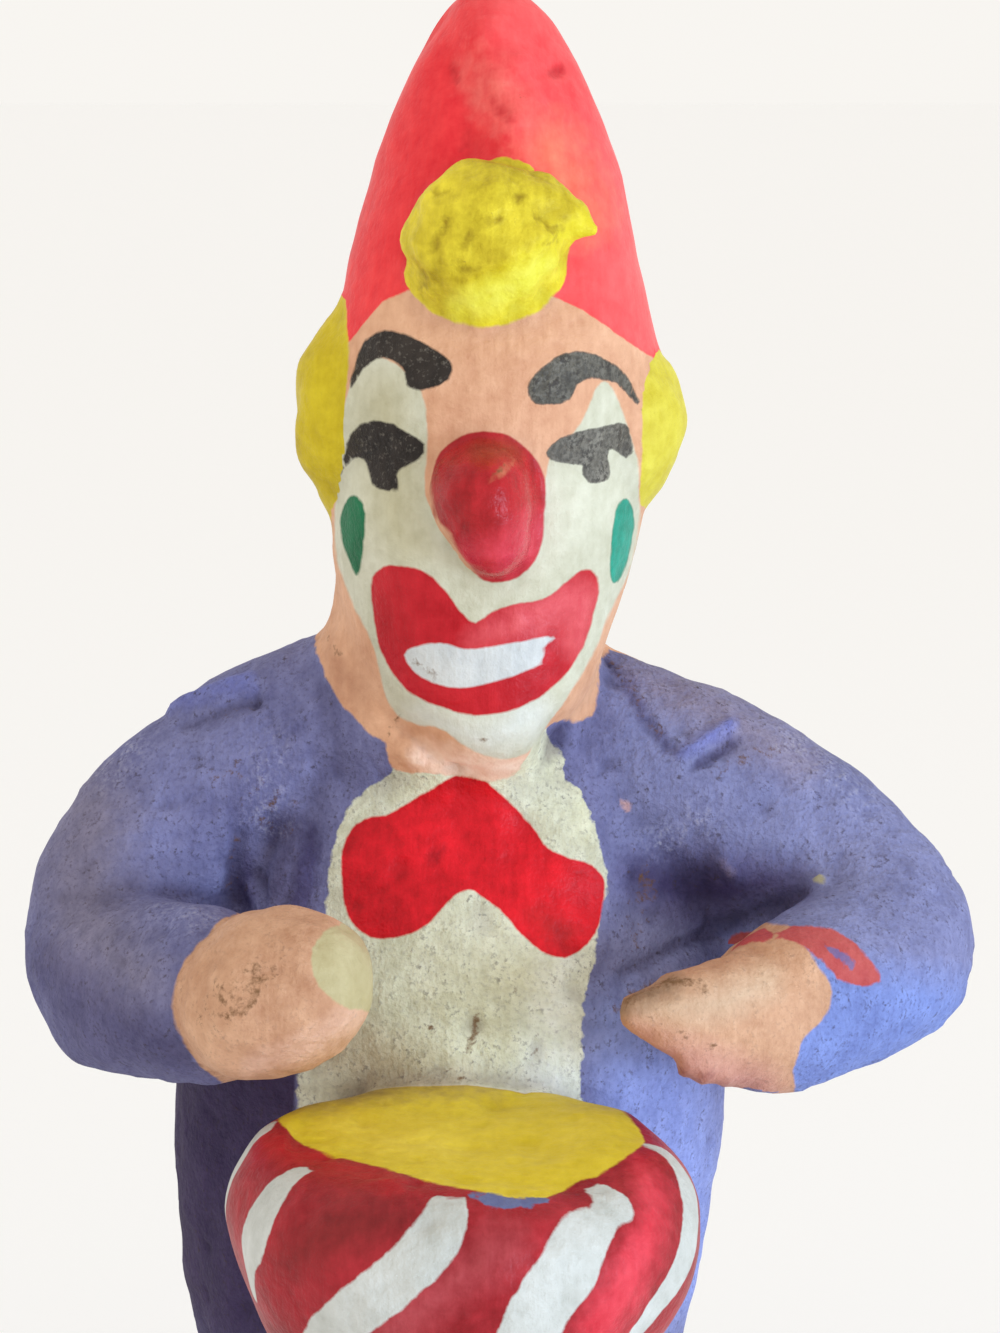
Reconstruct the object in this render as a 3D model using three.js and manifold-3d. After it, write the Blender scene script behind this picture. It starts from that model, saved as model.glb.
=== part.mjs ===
// A painted clay clown that plays a drum: tall hat, roll of hair, ball nose, long coat, big shoes.
// It is modelled by hand from lumps that are pressed together, and fired as one piece with its base.
// Millimetres, +Z up. The figure faces -Y, and the origin is the middle of the base's underside.

import * as THREE from 'three';
import { mergeVertices } from 'three/addons/utils/BufferGeometryUtils.js';
import Module from 'manifold-3d';

const wasm = await Module();
wasm.setup();

// The low oval base.
const baseWidth = 62;
const baseDepth = 58;
const baseThickness = 7;
const baseEdge = 2.4;

// Heights, each counted from the level below it.
const legHeight = 39;
const coatHeight = 66;
const chinDrop = 11.6;
const faceHeight = 36.2;
const hatHeight = 29;

// The body.
const coatWidth = 48.6;
const coatDepth = 40;
const bellyForward = 1.2;
const neckWidth = 24;
const sleeveWidth = 19.6;
const shoulderDrop = 13;
const elbowDrop = 28.8;
const elbowSpan = 64;
const armAside = 4.2;

// The head.
const headWidth = 26.3;
const headDepth = 27.2;
const headForward = 5;
const noseWidth = 9.4;
const hairThickness = 11;
const hairHeight = 18;
const tuftWidth = 15;

// The drum.
const drumWidth = 36.6;
const drumRimWidth = 28.8;
const drumHeight = 20.6;
const drumLift = 31.4;

// Legs and shoes.
const legWidth = 21.6;
const legSpacing = 19.4;
const shoeLength = 37;
const shoeWidth = 20;
const shoeHeight = 11.5;

// The whole figure leans a little to its left, and stands towards the back of its base.
const lean = 0.05;
const leanFoot = 1.25;
const bodyBack = 6;
const axisX = (z) => lean * z - leanFoot;

// The levels that the heights give.
const hemLevel = baseThickness + legHeight;
const neckLevel = hemLevel + coatHeight;
const chinLevel = neckLevel - chinDrop;
const brimLevel = chinLevel + faceHeight;
const tipLevel = brimLevel + hatHeight;
const drumTop = hemLevel + drumLift;

const { clamp, lerp, smoothstep } = THREE.MathUtils;

/** A smooth curve through evenly spaced values, read at a share of its length. */
function between(values, share) {
  const last = values.length - 1;
  const at = clamp(share, 0, 1) * last;
  const i = Math.min(Math.floor(at), last - 1);
  const f = at - i;
  const [a, b, c, d] = [-1, 0, 1, 2].map((k) => values[clamp(i + k, 0, last)]);
  return b + 0.5 * f * (c - a + f * (2 * a - 5 * b + 4 * c - d + f * (3 * (b - c) + d - a)));
}

/** A closed skin of rings: place(turn, ring) gives each point, and the first and last ring are poles. */
function skin(sides, rings, place) {
  const ball = new THREE.SphereGeometry(1, sides, rings);
  const { position, uv } = ball.attributes;
  for (let i = 0; i < position.count; i++) {
    const ring = Math.round((1 - uv.getY(i)) * rings);
    const pole = ring === 0 || ring === rings;
    const turn = pole ? 0 : 2 * Math.PI * uv.getX(i);
    const { x, y, z } = place(turn, ring);
    position.setXYZ(i, x, y, z);
  }
  ball.deleteAttribute('normal');
  ball.deleteAttribute('uv');
  const merged = mergeVertices(ball, 1e-4);
  const shape = new wasm.Manifold(new wasm.Mesh({
    numProp: 3,
    vertProperties: new Float32Array(merged.attributes.position.array),
    triVerts: new Uint32Array(merged.index.array),
  }));
  return shape;
}

/** A lump turned about an upright axis: profile is [radius, height] from its top pole to its bottom one. */
function turned(profile, sides, place) {
  return skin(sides, profile.length - 1, (turn, ring) => {
    const [radius, height] = profile[ring];
    return place(radius * Math.cos(turn), radius * Math.sin(turn), height);
  });
}

/** A ball of clay pressed to half sizes, turned and set down. */
function ball(middle, halves, sides, rings, turn = new THREE.Euler()) {
  return skin(sides, rings, (around, ring) => {
    const down = Math.PI * ring / rings;
    const spot = new THREE.Vector3(
      Math.sin(down) * Math.cos(around),
      Math.sin(down) * Math.sin(around),
      Math.cos(down),
    );
    return spot.multiply(halves).applyEuler(turn).add(middle);
  });
}

/** A roll of clay with round ends. Each station is [x, y, z, half height, half thickness]. */
function roll(stations, sides, rings, upward) {
  const capRings = 3;
  const column = stations[0].map((_, k) => stations.map((station) => station[k]));
  const spine = (share) => new THREE.Vector3(...[0, 1, 2].map((k) => between(column[k], share)));
  return skin(sides, rings, (turn, ring) => {
    const share = clamp((ring - capRings) / (rings - 2 * capRings), 0, 1);
    const fromEnd = Math.min(ring, rings - ring, capRings) / capRings;
    const round = Math.sin(fromEnd * Math.PI / 2);
    const beyond = Math.cos(fromEnd * Math.PI / 2) * (ring < capRings ? -1 : 1);
    const ahead = spine(Math.min(share + 0.02, 1)).sub(spine(Math.max(share - 0.02, 0))).normalize();
    const sideways = new THREE.Vector3().crossVectors(ahead, upward).normalize();
    const up = new THREE.Vector3().crossVectors(sideways, ahead);
    const high = between(column[3], share);
    const thick = between(column[4], share);
    return spine(share)
      .addScaledVector(ahead, beyond * thick)
      .addScaledVector(up, high * round * Math.sin(turn))
      .addScaledVector(sideways, thick * round * Math.cos(turn));
  });
}

/** The oval slab under the figure, with both edges rounded. */
function base() {
  const edgeSteps = 3;
  const corner = (k) => Math.PI / 2 * k / edgeSteps;
  const profile = [[0, baseThickness]];
  for (let k = 0; k <= edgeSteps; k++) {
    profile.push([1 - baseEdge * (1 - Math.sin(corner(k))) / (baseWidth / 2),
      baseThickness - baseEdge * (1 - Math.cos(corner(k)))]);
  }
  for (let k = 0; k <= edgeSteps; k++) {
    profile.push([1 - 0.5 * baseEdge * (1 - Math.cos(corner(k))) / (baseWidth / 2),
      0.5 * baseEdge * (1 - Math.sin(corner(k)))]);
  }
  profile.push([0, 0]);
  return turned(profile, 36, (x, y, z) => ({ x: x * baseWidth / 2, y: y * baseDepth / 2, z }));
}

/** One big shoe, its toe turned out. side is -1 or 1. */
function shoe(side) {
  const splay = new THREE.Euler(0, 0, side * 0.2);
  const middle = new THREE.Vector3(
    axisX(baseThickness) + side * (legSpacing / 2 + 1.6),
    bodyBack - shoeLength * 0.25,
    baseThickness,
  );
  const sole = baseThickness - 1;
  return skin(18, 10, (around, ring) => {
    const down = Math.PI * ring / 10;
    const spot = new THREE.Vector3(
      shoeWidth / 2 * Math.sin(down) ** 0.8 * Math.cos(around),
      shoeLength / 2 * Math.sin(down) ** 0.8 * Math.sin(around),
      shoeHeight * Math.cos(down),
    ).applyEuler(splay).add(middle);
    return spot.setZ(Math.max(spot.z, sole));
  });
}

/** One wide trouser leg, from inside the coat down into the shoe. */
function leg(side) {
  const half = legWidth / 2;
  const inCoat = hemLevel + 4;
  const inShoe = baseThickness + shoeHeight * 0.55;
  const station = (share, wide, out) => {
    const z = lerp(inCoat, inShoe, share);
    return [axisX(z) + side * (legSpacing / 2 + out), bodyBack - 0.5 - 2 * share, z, half * wide, half * wide];
  };
  const stations = [station(0, 1, 0), station(0.3, 0.98, 0), station(0.55, 0.94, 0.1),
    station(0.8, 0.93, 0.4), station(1, 0.84, 0.9)];
  return roll(stations, 20, 14, new THREE.Vector3(0, 1, 0));
}

/** The long coat: a bell that is widest at the belly and closes under the neck. */
function coat() {
  const widest = 0.4;
  const crown = 1.06;
  const profile = [];
  const upperRings = 15;
  const lowerRings = 6;
  for (let k = 0; k < upperRings; k++) {
    const climb = 1 - (k / upperRings) ** 1.7;
    profile.push([(1 - climb ** 2.4) ** 0.6, lerp(widest, crown, climb)]);
  }
  for (let k = 0; k <= lowerRings; k++) {
    const fall = k / lowerRings;
    profile.push([1 - 0.11 * fall ** 1.6, lerp(widest, 0.012, fall)]);
  }
  profile.push([0.86, 0], [0.5, 0], [0, 0]);
  return turned(profile, 34, (x, y, share) => {
    const z = hemLevel + share * coatHeight;
    const chest = 1 - 0.22 * smoothstep(share, 0.42, 0.9);
    const belly = bellyForward * smoothstep(share, 0, 0.4) * (1 - smoothstep(share, 0.5, 0.9));
    return { x: axisX(z) + 0.35 + x * coatWidth / 2, y: bodyBack - belly + y * chest * coatDepth / 2, z };
  });
}

/** The short neck, which spreads into the shoulders. */
function neck() {
  const half = neckWidth / 2;
  const foot = neckLevel - 14;
  const top = neckLevel + 2;
  const stations = [[1.15, 0], [1.06, 0.4], [0.96, 0.7], [0.8, 1]].map(([wide, share]) => {
    const z = lerp(foot, top, share);
    return [axisX(z) - 0.3, bodyBack - 1.5 - 2.5 * share, z, half * wide * 0.86, half * wide];
  });
  return roll(stations, 20, 11, new THREE.Vector3(0, 1, 0));
}

/** The head and the hat, one egg drawn up into a blunt cone. */
function head() {
  const hatRings = 12;
  const cheekRings = 3;
  const jawRings = 9;
  const cheekLevel = chinLevel + 0.65 * faceHeight;
  const rings = [];
  for (let k = 0; k <= hatRings; k++) {
    const down = (k / hatRings) ** 1.8;
    rings.push([down ** 0.44 * 1.03, tipLevel - down * hatHeight]);
  }
  for (let k = 1; k <= cheekRings; k++) {
    const down = k / cheekRings;
    rings.push([lerp(1.03, 1, down), lerp(brimLevel, cheekLevel, down)]);
  }
  for (let k = 1; k <= jawRings; k++) {
    const down = Math.sin(k / jawRings * Math.PI / 2);
    rings.push([(1 - down ** 1.7) ** 0.55, lerp(cheekLevel, chinLevel, down)]);
  }
  return turned(rings, 36, (x, y, z) => {
    const jaw = 1 - smoothstep(z, chinLevel, cheekLevel);
    const hat = smoothstep(z, brimLevel, tipLevel);
    const sideways = 1.2 + 1.8 * jaw ** 3 - 1.3 * hat ** 0.7;
    const forward = headForward + 5.6 * jaw ** 1.3 - 3.6 * hat;
    return {
      x: axisX(z) + sideways + x * headWidth / 2,
      y: bodyBack - forward + y * headDepth / 2,
      z,
    };
  });
}

/** The ball nose, stuck on the middle of the face. */
function nose() {
  const z = chinLevel + 0.675 * faceHeight;
  const middle = new THREE.Vector3(axisX(z) + 1.2, bodyBack - headForward - headDepth / 2 - 0.6, z);
  const half = noseWidth / 2;
  return ball(middle, new THREE.Vector3(half, half * 1.25, half * 1.23), 16, 12);
}

/** The roll of hair round the back of the head, from temple to temple. */
function hair() {
  const reach = headWidth / 2 - hairThickness / 2 + 3;
  const left = 1.07 * Math.PI;
  const right = -0.03 * Math.PI;
  const stations = [];
  const steps = 8;
  for (let k = 0; k <= steps; k++) {
    const share = k / steps;
    const angle = lerp(left, right, share);
    const z = chinLevel + (0.84 - 0.025 * share) * faceHeight;
    const high = hairHeight / 2 * lerp(1.02, 0.8, share);
    stations.push([axisX(z) + 0.7 + reach * Math.cos(angle), bodyBack - headForward + reach * Math.sin(angle),
      z, high, hairThickness / 2]);
  }
  return roll(stations, 14, 22, new THREE.Vector3(0, 0, 1));
}

/** The tuft of hair that stands out in front of the hat. */
function tuft() {
  const half = tuftWidth / 2;
  const z = brimLevel + 8.8;
  const x = axisX(z) + 0.7;
  const y = bodyBack - headForward - headDepth * 0.42;
  const main = ball(new THREE.Vector3(x - 0.5, y, z), new THREE.Vector3(half * 0.95, half * 0.72, half * 0.96),
    16, 10, new THREE.Euler(0.12, 0, -0.1));
  const curl = ball(new THREE.Vector3(x + half * 0.62, y - 0.3, z + 1.4), new THREE.Vector3(4, 3, 3.2),
    10, 8, new THREE.Euler(0, 0.5, 0));
  return main.add(curl);
}

/** One sleeve from the neck over the shoulder and round the elbow, then on to the wrist. side is -1 or 1. */
function sleeve(side, upper, wrist) {
  const half = sleeveWidth / 2;
  const shoulder = neckLevel - shoulderDrop;
  const elbow = neckLevel - elbowDrop;
  const at = ([drop, reach, forward, wide]) => {
    const z = lerp(shoulder, elbow, drop);
    const x = axisX(z) + side * reach * elbowSpan / 2 + armAside * drop;
    return [x, bodyBack - forward, z, half * wide, half * wide];
  };
  return roll([...upper.map(at), ...wrist], 18, 26, new THREE.Vector3(side, 0, 1));
}

/** The drum: a squashed ball with a flat skin, pressed against the belly. */
function drum() {
  const half = drumWidth / 2;
  const rim = drumRimWidth / 2;
  const waist = drumTop - 0.27 * drumHeight;
  const z = waist;
  const x = axisX(z) + 1.75;
  const y = bodyBack - bellyForward - coatDepth / 2 - rim + 0.6;
  const upper = (drumTop - waist) / Math.sqrt(1 - (rim / half) ** 2);
  const profile = [[0, drumTop], [rim * 0.6, drumTop], [rim - 0.4, drumTop]];
  for (const share of [1, 0.85, 0.6, 0.3, 0]) {
    const height = (drumTop - waist) * share - (share === 1 ? 0.35 : 0);
    profile.push([half * Math.sqrt(1 - (height / upper) ** 2), waist + height]);
  }
  const lower = drumHeight - (drumTop - waist);
  for (const share of [0.25, 0.45, 0.65, 0.82, 0.94, 1]) {
    profile.push([half * Math.sqrt(1 - (0.9 * share) ** 2), waist - lower * share]);
  }
  profile.push([0, waist - lower]);
  return turned(profile, 34, (dx, dy, height) => ({ x: x + dx, y: y + dy, z: height }));
}

/** The arm on the figure's right: its mitten hand points ahead and inwards. */
function rightArm() {
  const z = neckLevel - elbowDrop;
  const x = axisX(z) + armAside;
  const y = bodyBack;
  const upper = [[-0.24, 0.22, 0, 0.95], [-0.06, 0.45, 0.3, 0.97], [0.16, 0.64, 0.8, 0.97],
    [0.43, 0.82, 2.5, 0.96], [0.7, 0.95, 5.5, 0.92], [0.92, 1, 9.3, 0.87]];
  const arm = sleeve(-1, upper, [
    [x - 29.5, y - 15.5, z + 0.9, 7.8, 7.6],
    [x - 24.5, y - 22, z + 1.8, 7, 7],
  ]);
  const hand = ball(new THREE.Vector3(x - 17.9, y - 28, z + 3.8), new THREE.Vector3(8.2, 7.4, 6.2), 18, 12,
    new THREE.Euler(0, -0.38, -0.35, 'ZYX'));
  return arm.add(hand);
}

/** The arm on the figure's left, and its flat hand that narrows to a point. */
function leftArm() {
  const z = neckLevel - elbowDrop;
  const x = axisX(z) + armAside;
  const y = bodyBack;
  const upper = [[-0.09, 0.36, 0, 0.95], [0.11, 0.57, 0.3, 0.97], [0.33, 0.74, 0.8, 0.97],
    [0.52, 0.866, 2, 0.96], [0.72, 0.965, 5, 0.92], [0.86, 1, 9, 0.87]];
  const arm = sleeve(1, upper, [
    [x + 27.8, y - 15.4, z + 1, 7.3, 7.3],
    [x + 23.4, y - 20, z + 0.4, 6.8, 6.4],
  ]);
  const hand = roll([
    [x + 24, y - 20.5, z - 0.6, 6.1, 5],
    [x + 20, y - 24, z + 0.2, 5.6, 4.6],
    [x + 15, y - 27.5, z + 1.7, 3.8, 3.4],
    [x + 10.6, y - 29.6, z + 2.7, 1.7, 1.5],
  ], 16, 14, new THREE.Vector3(0, 0, 1));
  return arm.add(hand);
}

/** The clay that joins the upper arm to the side of the coat. side is -1 or 1. */
function armpit(side) {
  const z = neckLevel - shoulderDrop - 11;
  const middle = new THREE.Vector3(axisX(z) + armAside / 2 + side * 20.5, bodyBack, z);
  return ball(middle, new THREE.Vector3(9, 7.5, 11), 14, 10);
}

const lumps = [
  base(), shoe(-1), shoe(1), leg(-1), leg(1),
  coat(), armpit(-1), armpit(1), rightArm(), leftArm(), drum(),
  neck(), head(), nose(), hair(), tuft(),
];
const shape = lumps.reduce((whole, lump) => whole.add(lump));

/** A closed solid as a three.js mesh. */
function meshOf(solid, name, material) {
  const { vertProperties, triVerts } = solid.getMesh();
  const geometry = new THREE.BufferGeometry();
  geometry.setAttribute('position', new THREE.BufferAttribute(new Float32Array(vertProperties), 3));
  geometry.setIndex(new THREE.BufferAttribute(new Uint32Array(triVerts), 1));
  geometry.computeVertexNormals();
  const mesh = new THREE.Mesh(geometry, material);
  mesh.name = name;
  return mesh;
}

const paintedClay = new THREE.MeshStandardMaterial({ color: 0x6a6da0, roughness: 0.8, metalness: 0 });
const figurine = new THREE.Group();
figurine.add(meshOf(shape, 'clown_figure', paintedClay));

export default figurine;
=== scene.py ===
import math

import bpy
import numpy as np
from mathutils import Euler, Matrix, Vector


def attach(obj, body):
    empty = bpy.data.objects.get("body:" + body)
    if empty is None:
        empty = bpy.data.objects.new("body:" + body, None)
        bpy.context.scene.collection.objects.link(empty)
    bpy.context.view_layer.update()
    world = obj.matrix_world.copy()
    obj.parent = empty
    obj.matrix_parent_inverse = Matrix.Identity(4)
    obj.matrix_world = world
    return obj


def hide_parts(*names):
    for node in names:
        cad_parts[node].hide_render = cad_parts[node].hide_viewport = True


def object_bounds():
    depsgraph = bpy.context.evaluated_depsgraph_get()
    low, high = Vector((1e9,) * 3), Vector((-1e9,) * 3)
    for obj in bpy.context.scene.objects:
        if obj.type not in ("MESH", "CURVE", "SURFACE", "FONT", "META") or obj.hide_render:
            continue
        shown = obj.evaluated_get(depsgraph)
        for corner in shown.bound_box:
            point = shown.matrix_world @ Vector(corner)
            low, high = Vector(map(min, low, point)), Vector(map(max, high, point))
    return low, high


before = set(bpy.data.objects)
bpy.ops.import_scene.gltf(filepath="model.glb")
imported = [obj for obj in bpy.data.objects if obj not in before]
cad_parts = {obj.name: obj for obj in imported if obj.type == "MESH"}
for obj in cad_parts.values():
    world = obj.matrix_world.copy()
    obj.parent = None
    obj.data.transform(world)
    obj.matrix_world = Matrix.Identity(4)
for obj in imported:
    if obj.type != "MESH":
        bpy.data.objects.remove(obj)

cad_low, cad_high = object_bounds()

# The low base: a slab of clay pressed flat, its edge rounded by thumb and painted off-white.
# The figure is pressed onto it while wet, so that the two are fired as one.
MM = 0.001
base_width, base_depth, base_thickness = 62, 58, 7
clay = []


def press(points):
    """Keeps a closed lump for the joining: rows of points from one pole to the other, and columns that
    go round it."""
    rows, sides = points.shape[:2]
    here = np.arange(rows * sides).reshape(rows, sides)
    here[0], here[-1] = here[0, 0], here[-1, 0]
    beside = np.roll(here, -1, axis=1)
    halves = [(here[:-1], here[1:], beside[1:]), (here[:-1], beside[1:], beside[:-1])]
    faces = np.concatenate([np.stack(half, axis=-1).reshape(-1, 3) for half in halves])
    flat = (faces[:, 0] == faces[:, 1]) | (faces[:, 1] == faces[:, 2]) | (faces[:, 2] == faces[:, 0])
    clay.append((points.reshape(-1, 3), faces[~flat]))


def round_turn(sides=72):
    """The angles of one full turn, as one row."""
    return np.arange(sides)[None, :] * 2 * np.pi / sides


def base_points():
    """A superellipse turned on its axis: radius cos(a) to the power 1/6 and height sin(a), with a slow
    wave in the radius, as a hand-cut slab has."""
    turn = round_turn()
    rise = np.linspace(np.pi / 2, -np.pi / 2, 41)[:, None]
    radius = np.cos(rise).clip(0) ** (1 / 6) * (1 + 0.006 * np.sin(3 * turn + 1) + 0.004 * np.sin(5 * turn))
    height = base_thickness / 2 * (1 + np.sin(rise)) * np.ones_like(turn)
    return np.stack([radius * np.cos(turn) * base_width / 2, radius * np.sin(turn) * base_depth / 2,
                     height], -1)


press(base_points())

# The big shoes: two balls of clay pressed flat underneath, painted black, toes turned out.
# They are pushed onto the base, and the trouser legs are pushed down into them.
leg_height = 39
hem_level = base_thickness + leg_height
leg_width, leg_spacing = 21.6, 19.4
shoe_length, shoe_width, shoe_height = 37, 20, 11.5
shoe_splay = 0.2
lean, lean_foot, body_back = 0.05, 1.25, 6


def axis_x(level):
    """The middle of the leaning figure at a level: it moves to the side in proportion to the height."""
    return lean * level - lean_foot


def ball(middle, halves, turned=(0, 0, 0), power=1):
    """A ball of clay pressed to three half sizes, turned and set down: sines and cosines of two angles."""
    turn = round_turn(56)
    down = np.linspace(0, np.pi, 37)[:, None]
    wide = np.sin(down).clip(0) ** power
    spot = np.stack([wide * np.cos(turn), wide * np.sin(turn), np.cos(down) * np.ones_like(turn)], -1)
    return (spot * halves) @ np.array(Euler(turned).to_matrix()).T + middle


shoes = []
for side in (-1, 1):
    shoe_x = axis_x(base_thickness) + side * (leg_spacing / 2 + 1.6)
    place = (np.array([shoe_x, body_back - shoe_length * 0.25, base_thickness]),
             np.array([shoe_width / 2, shoe_length / 2, shoe_height]), (0, 0, side * shoe_splay))
    shoes.append(place)
    shoe = ball(*place, power=0.8)
    shoe[..., 2] = shoe[..., 2].clip(base_thickness - 1)
    press(shoe)

# The trouser legs: two thick rolls of clay pressed together side by side, painted like the coat.
# They run up into the coat, whose hem hangs over them as a step.


def through(stations, share):
    """A smooth (Catmull-Rom) curve through evenly spaced stations, read at shares of its length."""
    last = len(stations) - 1
    at = np.clip(share, 0, 1) * last
    first = np.minimum(at.astype(int), last - 1)
    f = (at - first)[:, None]
    a, b, c, d = (stations[np.clip(first + k, 0, last)] for k in (-1, 0, 1, 2))
    return b + 0.5 * f * (c - a + f * (2 * a - 5 * b + 4 * c - d + f * (3 * (b - c) + d - a)))


def unit(vectors):
    """Each vector divided by its length."""
    return vectors / np.linalg.norm(vectors, axis=-1, keepdims=True)


def roll(stations, upward):
    """A roll of clay with round ends. Each station is x, y, z, half height and half thickness. Round the
    curve through them goes an oval, thickness times cosine sideways and height times sine upwards."""
    stations = np.array(stations, float)
    cap = np.linspace(0, np.pi / 2, 9)[:-1]
    middle = np.zeros(61)
    beyond = np.concatenate([-np.cos(cap), middle, np.cos(cap[::-1])])[:, None]
    around = np.concatenate([np.sin(cap), middle + 1, np.sin(cap[::-1])])[:, None, None]
    share = np.concatenate([cap * 0, np.linspace(0, 1, 61), cap * 0 + 1])
    spine = through(stations, share)
    ahead = unit((through(stations, share + 0.02) - through(stations, share - 0.02))[:, :3])
    sideways = unit(np.cross(ahead, upward))
    up = np.cross(sideways, ahead)
    tall, thick = spine[:, 3:4], spine[:, 4:5]
    turn = round_turn(56)[..., None]
    ring = np.cos(turn) * (sideways * thick)[:, None] + np.sin(turn) * (up * tall)[:, None]
    return (spine[:, :3] + ahead * beyond * thick)[:, None] + around * ring


for side in (-1, 1):
    leg_stations = []
    for share, wide, outward in ((0, 1, 0), (0.3, 0.98, 0), (0.55, 0.94, 0.1), (0.8, 0.93, 0.4),
                                 (1, 0.84, 0.9)):
        level = hem_level + 4 + share * (base_thickness + shoe_height * 0.55 - hem_level - 4)
        half = leg_width / 2 * wide
        leg_x = axis_x(level) + side * (leg_spacing / 2 + outward)
        leg_stations.append((leg_x, body_back - 0.5 - 2 * share, level, half, half))
    press(roll(leg_stations, (0, 1, 0)))

# The long coat: the body of the figure, one bell-shaped lump that is widest at the belly.
# The neck, the arms and the drum are pressed onto it, and the shirt front is only painted on.
coat_height, coat_width, coat_depth = 66, 48.6, 40
neck_level = hem_level + coat_height
widest_share, crown_share, belly_forward = 0.4, 1.06, 1.2


def ease(value, start, end):
    """0 before start, 1 after end, and a smooth S between: 3 t squared less 2 t cubed."""
    t = np.clip((value - start) / (end - start), 0, 1)
    return t * t * (3 - 2 * t)


def coat_points():
    """A bell turned on the leaning axis. Above its widest place the radius falls as (1 - climb^2.4)^0.6,
    and below it as 1 - 0.11 fall^1.6. The chest is flatter than the belly."""
    turn = round_turn(96)
    climb = 1 - np.linspace(0, 1, 50)[:-1] ** 1.7
    fall = np.linspace(0, 1, 30)
    radius = np.concatenate([(1 - climb ** 2.4) ** 0.6, 1 - 0.11 * fall ** 1.6, [0.86, 0.5, 0]])[:, None]
    share = np.concatenate([widest_share + (crown_share - widest_share) * climb,
                            widest_share + (0.012 - widest_share) * fall, [0, 0, 0]])[:, None]
    level = hem_level + share * coat_height
    chest = 1 - 0.22 * ease(share, 0.42, 0.9)
    belly = belly_forward * ease(share, 0, widest_share) * (1 - ease(share, 0.5, 0.9))
    across = axis_x(level) + 0.35 + radius * np.cos(turn) * coat_width / 2
    along = body_back - belly + radius * np.sin(turn) * chest * coat_depth / 2
    return np.stack([across, along, level + 0 * turn], -1)


press(coat_points())
shoulder_level = neck_level - 13
for side in (-1, 1):
    armpit = axis_x(shoulder_level - 11) + 2.1 + side * 20.5
    press(ball(np.array([armpit, body_back, shoulder_level - 11]), np.array([9, 7.5, 11])))

# The arms: a roll of clay each, bent at the elbow, with the sleeve running from the neck to the wrist.
# The right hand is a ball pressed into a mitten, the left one a flat roll drawn out to a point. Left and
# right are the figure's own, here and below.
sleeve_width, elbow_drop, elbow_span, arm_aside = 19.6, 28.8, 64, 4.2
elbow_level = neck_level - elbow_drop
elbow_x = axis_x(elbow_level) + arm_aside


def sleeve_stations(side, upper, wrist):
    """Stations of a sleeve. Upper ones are (drop towards the elbow, reach, forward, width), and those of
    the wrist (aside, forward, above the elbow, half height, half thickness)."""
    stations = []
    for drop, reach, forward, wide in upper:
        level = shoulder_level + drop * (elbow_level - shoulder_level)
        half = sleeve_width / 2 * wide
        out = axis_x(level) + side * reach * elbow_span / 2 + arm_aside * drop
        stations.append((out, body_back - forward, level, half, half))
    return stations + [(elbow_x + aside, body_back - ahead, elbow_level + above, tall, thick)
                       for aside, ahead, above, tall, thick in wrist]


right_sleeve = sleeve_stations(
    -1,
    [(-0.24, 0.22, 0, 0.95), (-0.06, 0.45, 0.3, 0.97), (0.16, 0.64, 0.8, 0.97),
     (0.43, 0.82, 2.5, 0.96), (0.7, 0.95, 5.5, 0.92), (0.92, 1, 9.3, 0.87)],
    [(-29.5, 15.5, 0.9, 7.8, 7.6), (-24.5, 22, 1.8, 7, 7)],
)
left_sleeve = sleeve_stations(
    1,
    [(-0.09, 0.36, 0, 0.95), (0.11, 0.57, 0.3, 0.97), (0.33, 0.74, 0.8, 0.97),
     (0.52, 0.866, 2, 0.96), (0.72, 0.965, 5, 0.92), (0.86, 1, 9, 0.87)],
    [(27.8, 15.4, 1, 7.3, 7.3), (23.4, 20, 0.4, 6.8, 6.4)],
)
left_hand = sleeve_stations(
    1,
    [],
    [(24, 20.5, -0.6, 6.1, 5), (20, 24, 0.2, 5.6, 4.6), (15, 27.5, 1.7, 3.8, 3.4),
     (10.6, 29.6, 2.7, 1.7, 1.5)],
)
right_hand = (np.array([elbow_x - 17.9, body_back - 28, elbow_level + 3.8]),
              np.array([8.2, 7.4, 6.2]), (0, -0.38, -0.35))
press(roll(right_sleeve, (-1, 0, 1)))
press(roll(left_sleeve, (1, 0, 1)))
press(roll(left_hand, (0, 0, 1)))
press(ball(*right_hand))

# The drum: a ball of clay squashed to a bowl with a flat top, and stuck to the belly.
# Its skin and stripes are only paint.
drum_width, drum_rim_width, drum_height = 36.6, 28.8, 20.6
drum_top = hem_level + 31.4
drum_waist = drum_top - 0.27 * drum_height
drum_x = axis_x(drum_waist) + 1.75
drum_y = body_back - belly_forward - coat_depth / 2 - drum_rim_width / 2 + 0.6


def drum_points():
    """A bowl turned on an upright axis. Above the waist the radius follows an ellipse up to the rim, and
    below it another ellipse, cut flat underneath. The rim is rounded."""
    turn = round_turn(88)
    half, rim = drum_width / 2, drum_rim_width / 2
    over = drum_top - drum_waist
    under = drum_height - over
    reach = over / math.sqrt(1 - (rim / half) ** 2)
    up = np.linspace(1, 0, 22)
    down = np.linspace(0, 1, 34)[1:]
    edge = 1 - 0.025 * np.exp(-((1 - up) / 0.06))
    radius = np.concatenate([[0, 0.5 * rim, 0.86 * rim], half * edge * np.sqrt(1 - (up * over / reach) ** 2),
                             half * np.sqrt(1 - (0.9 * down) ** 2), [0]])[:, None]
    level = np.concatenate([[drum_top - 0.2, drum_top - 0.1, drum_top],
                            drum_waist + up * over - 0.35 * np.exp(-((1 - up) / 0.06)),
                            drum_waist - down * under, [drum_waist - under]])[:, None]
    radius = radius * (1 + 0.006 * np.sin(3 * turn + 0.5))
    return np.stack([drum_x + radius * np.cos(turn), drum_y + radius * np.sin(turn), level + 0 * turn], -1)


press(drum_points())

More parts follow.
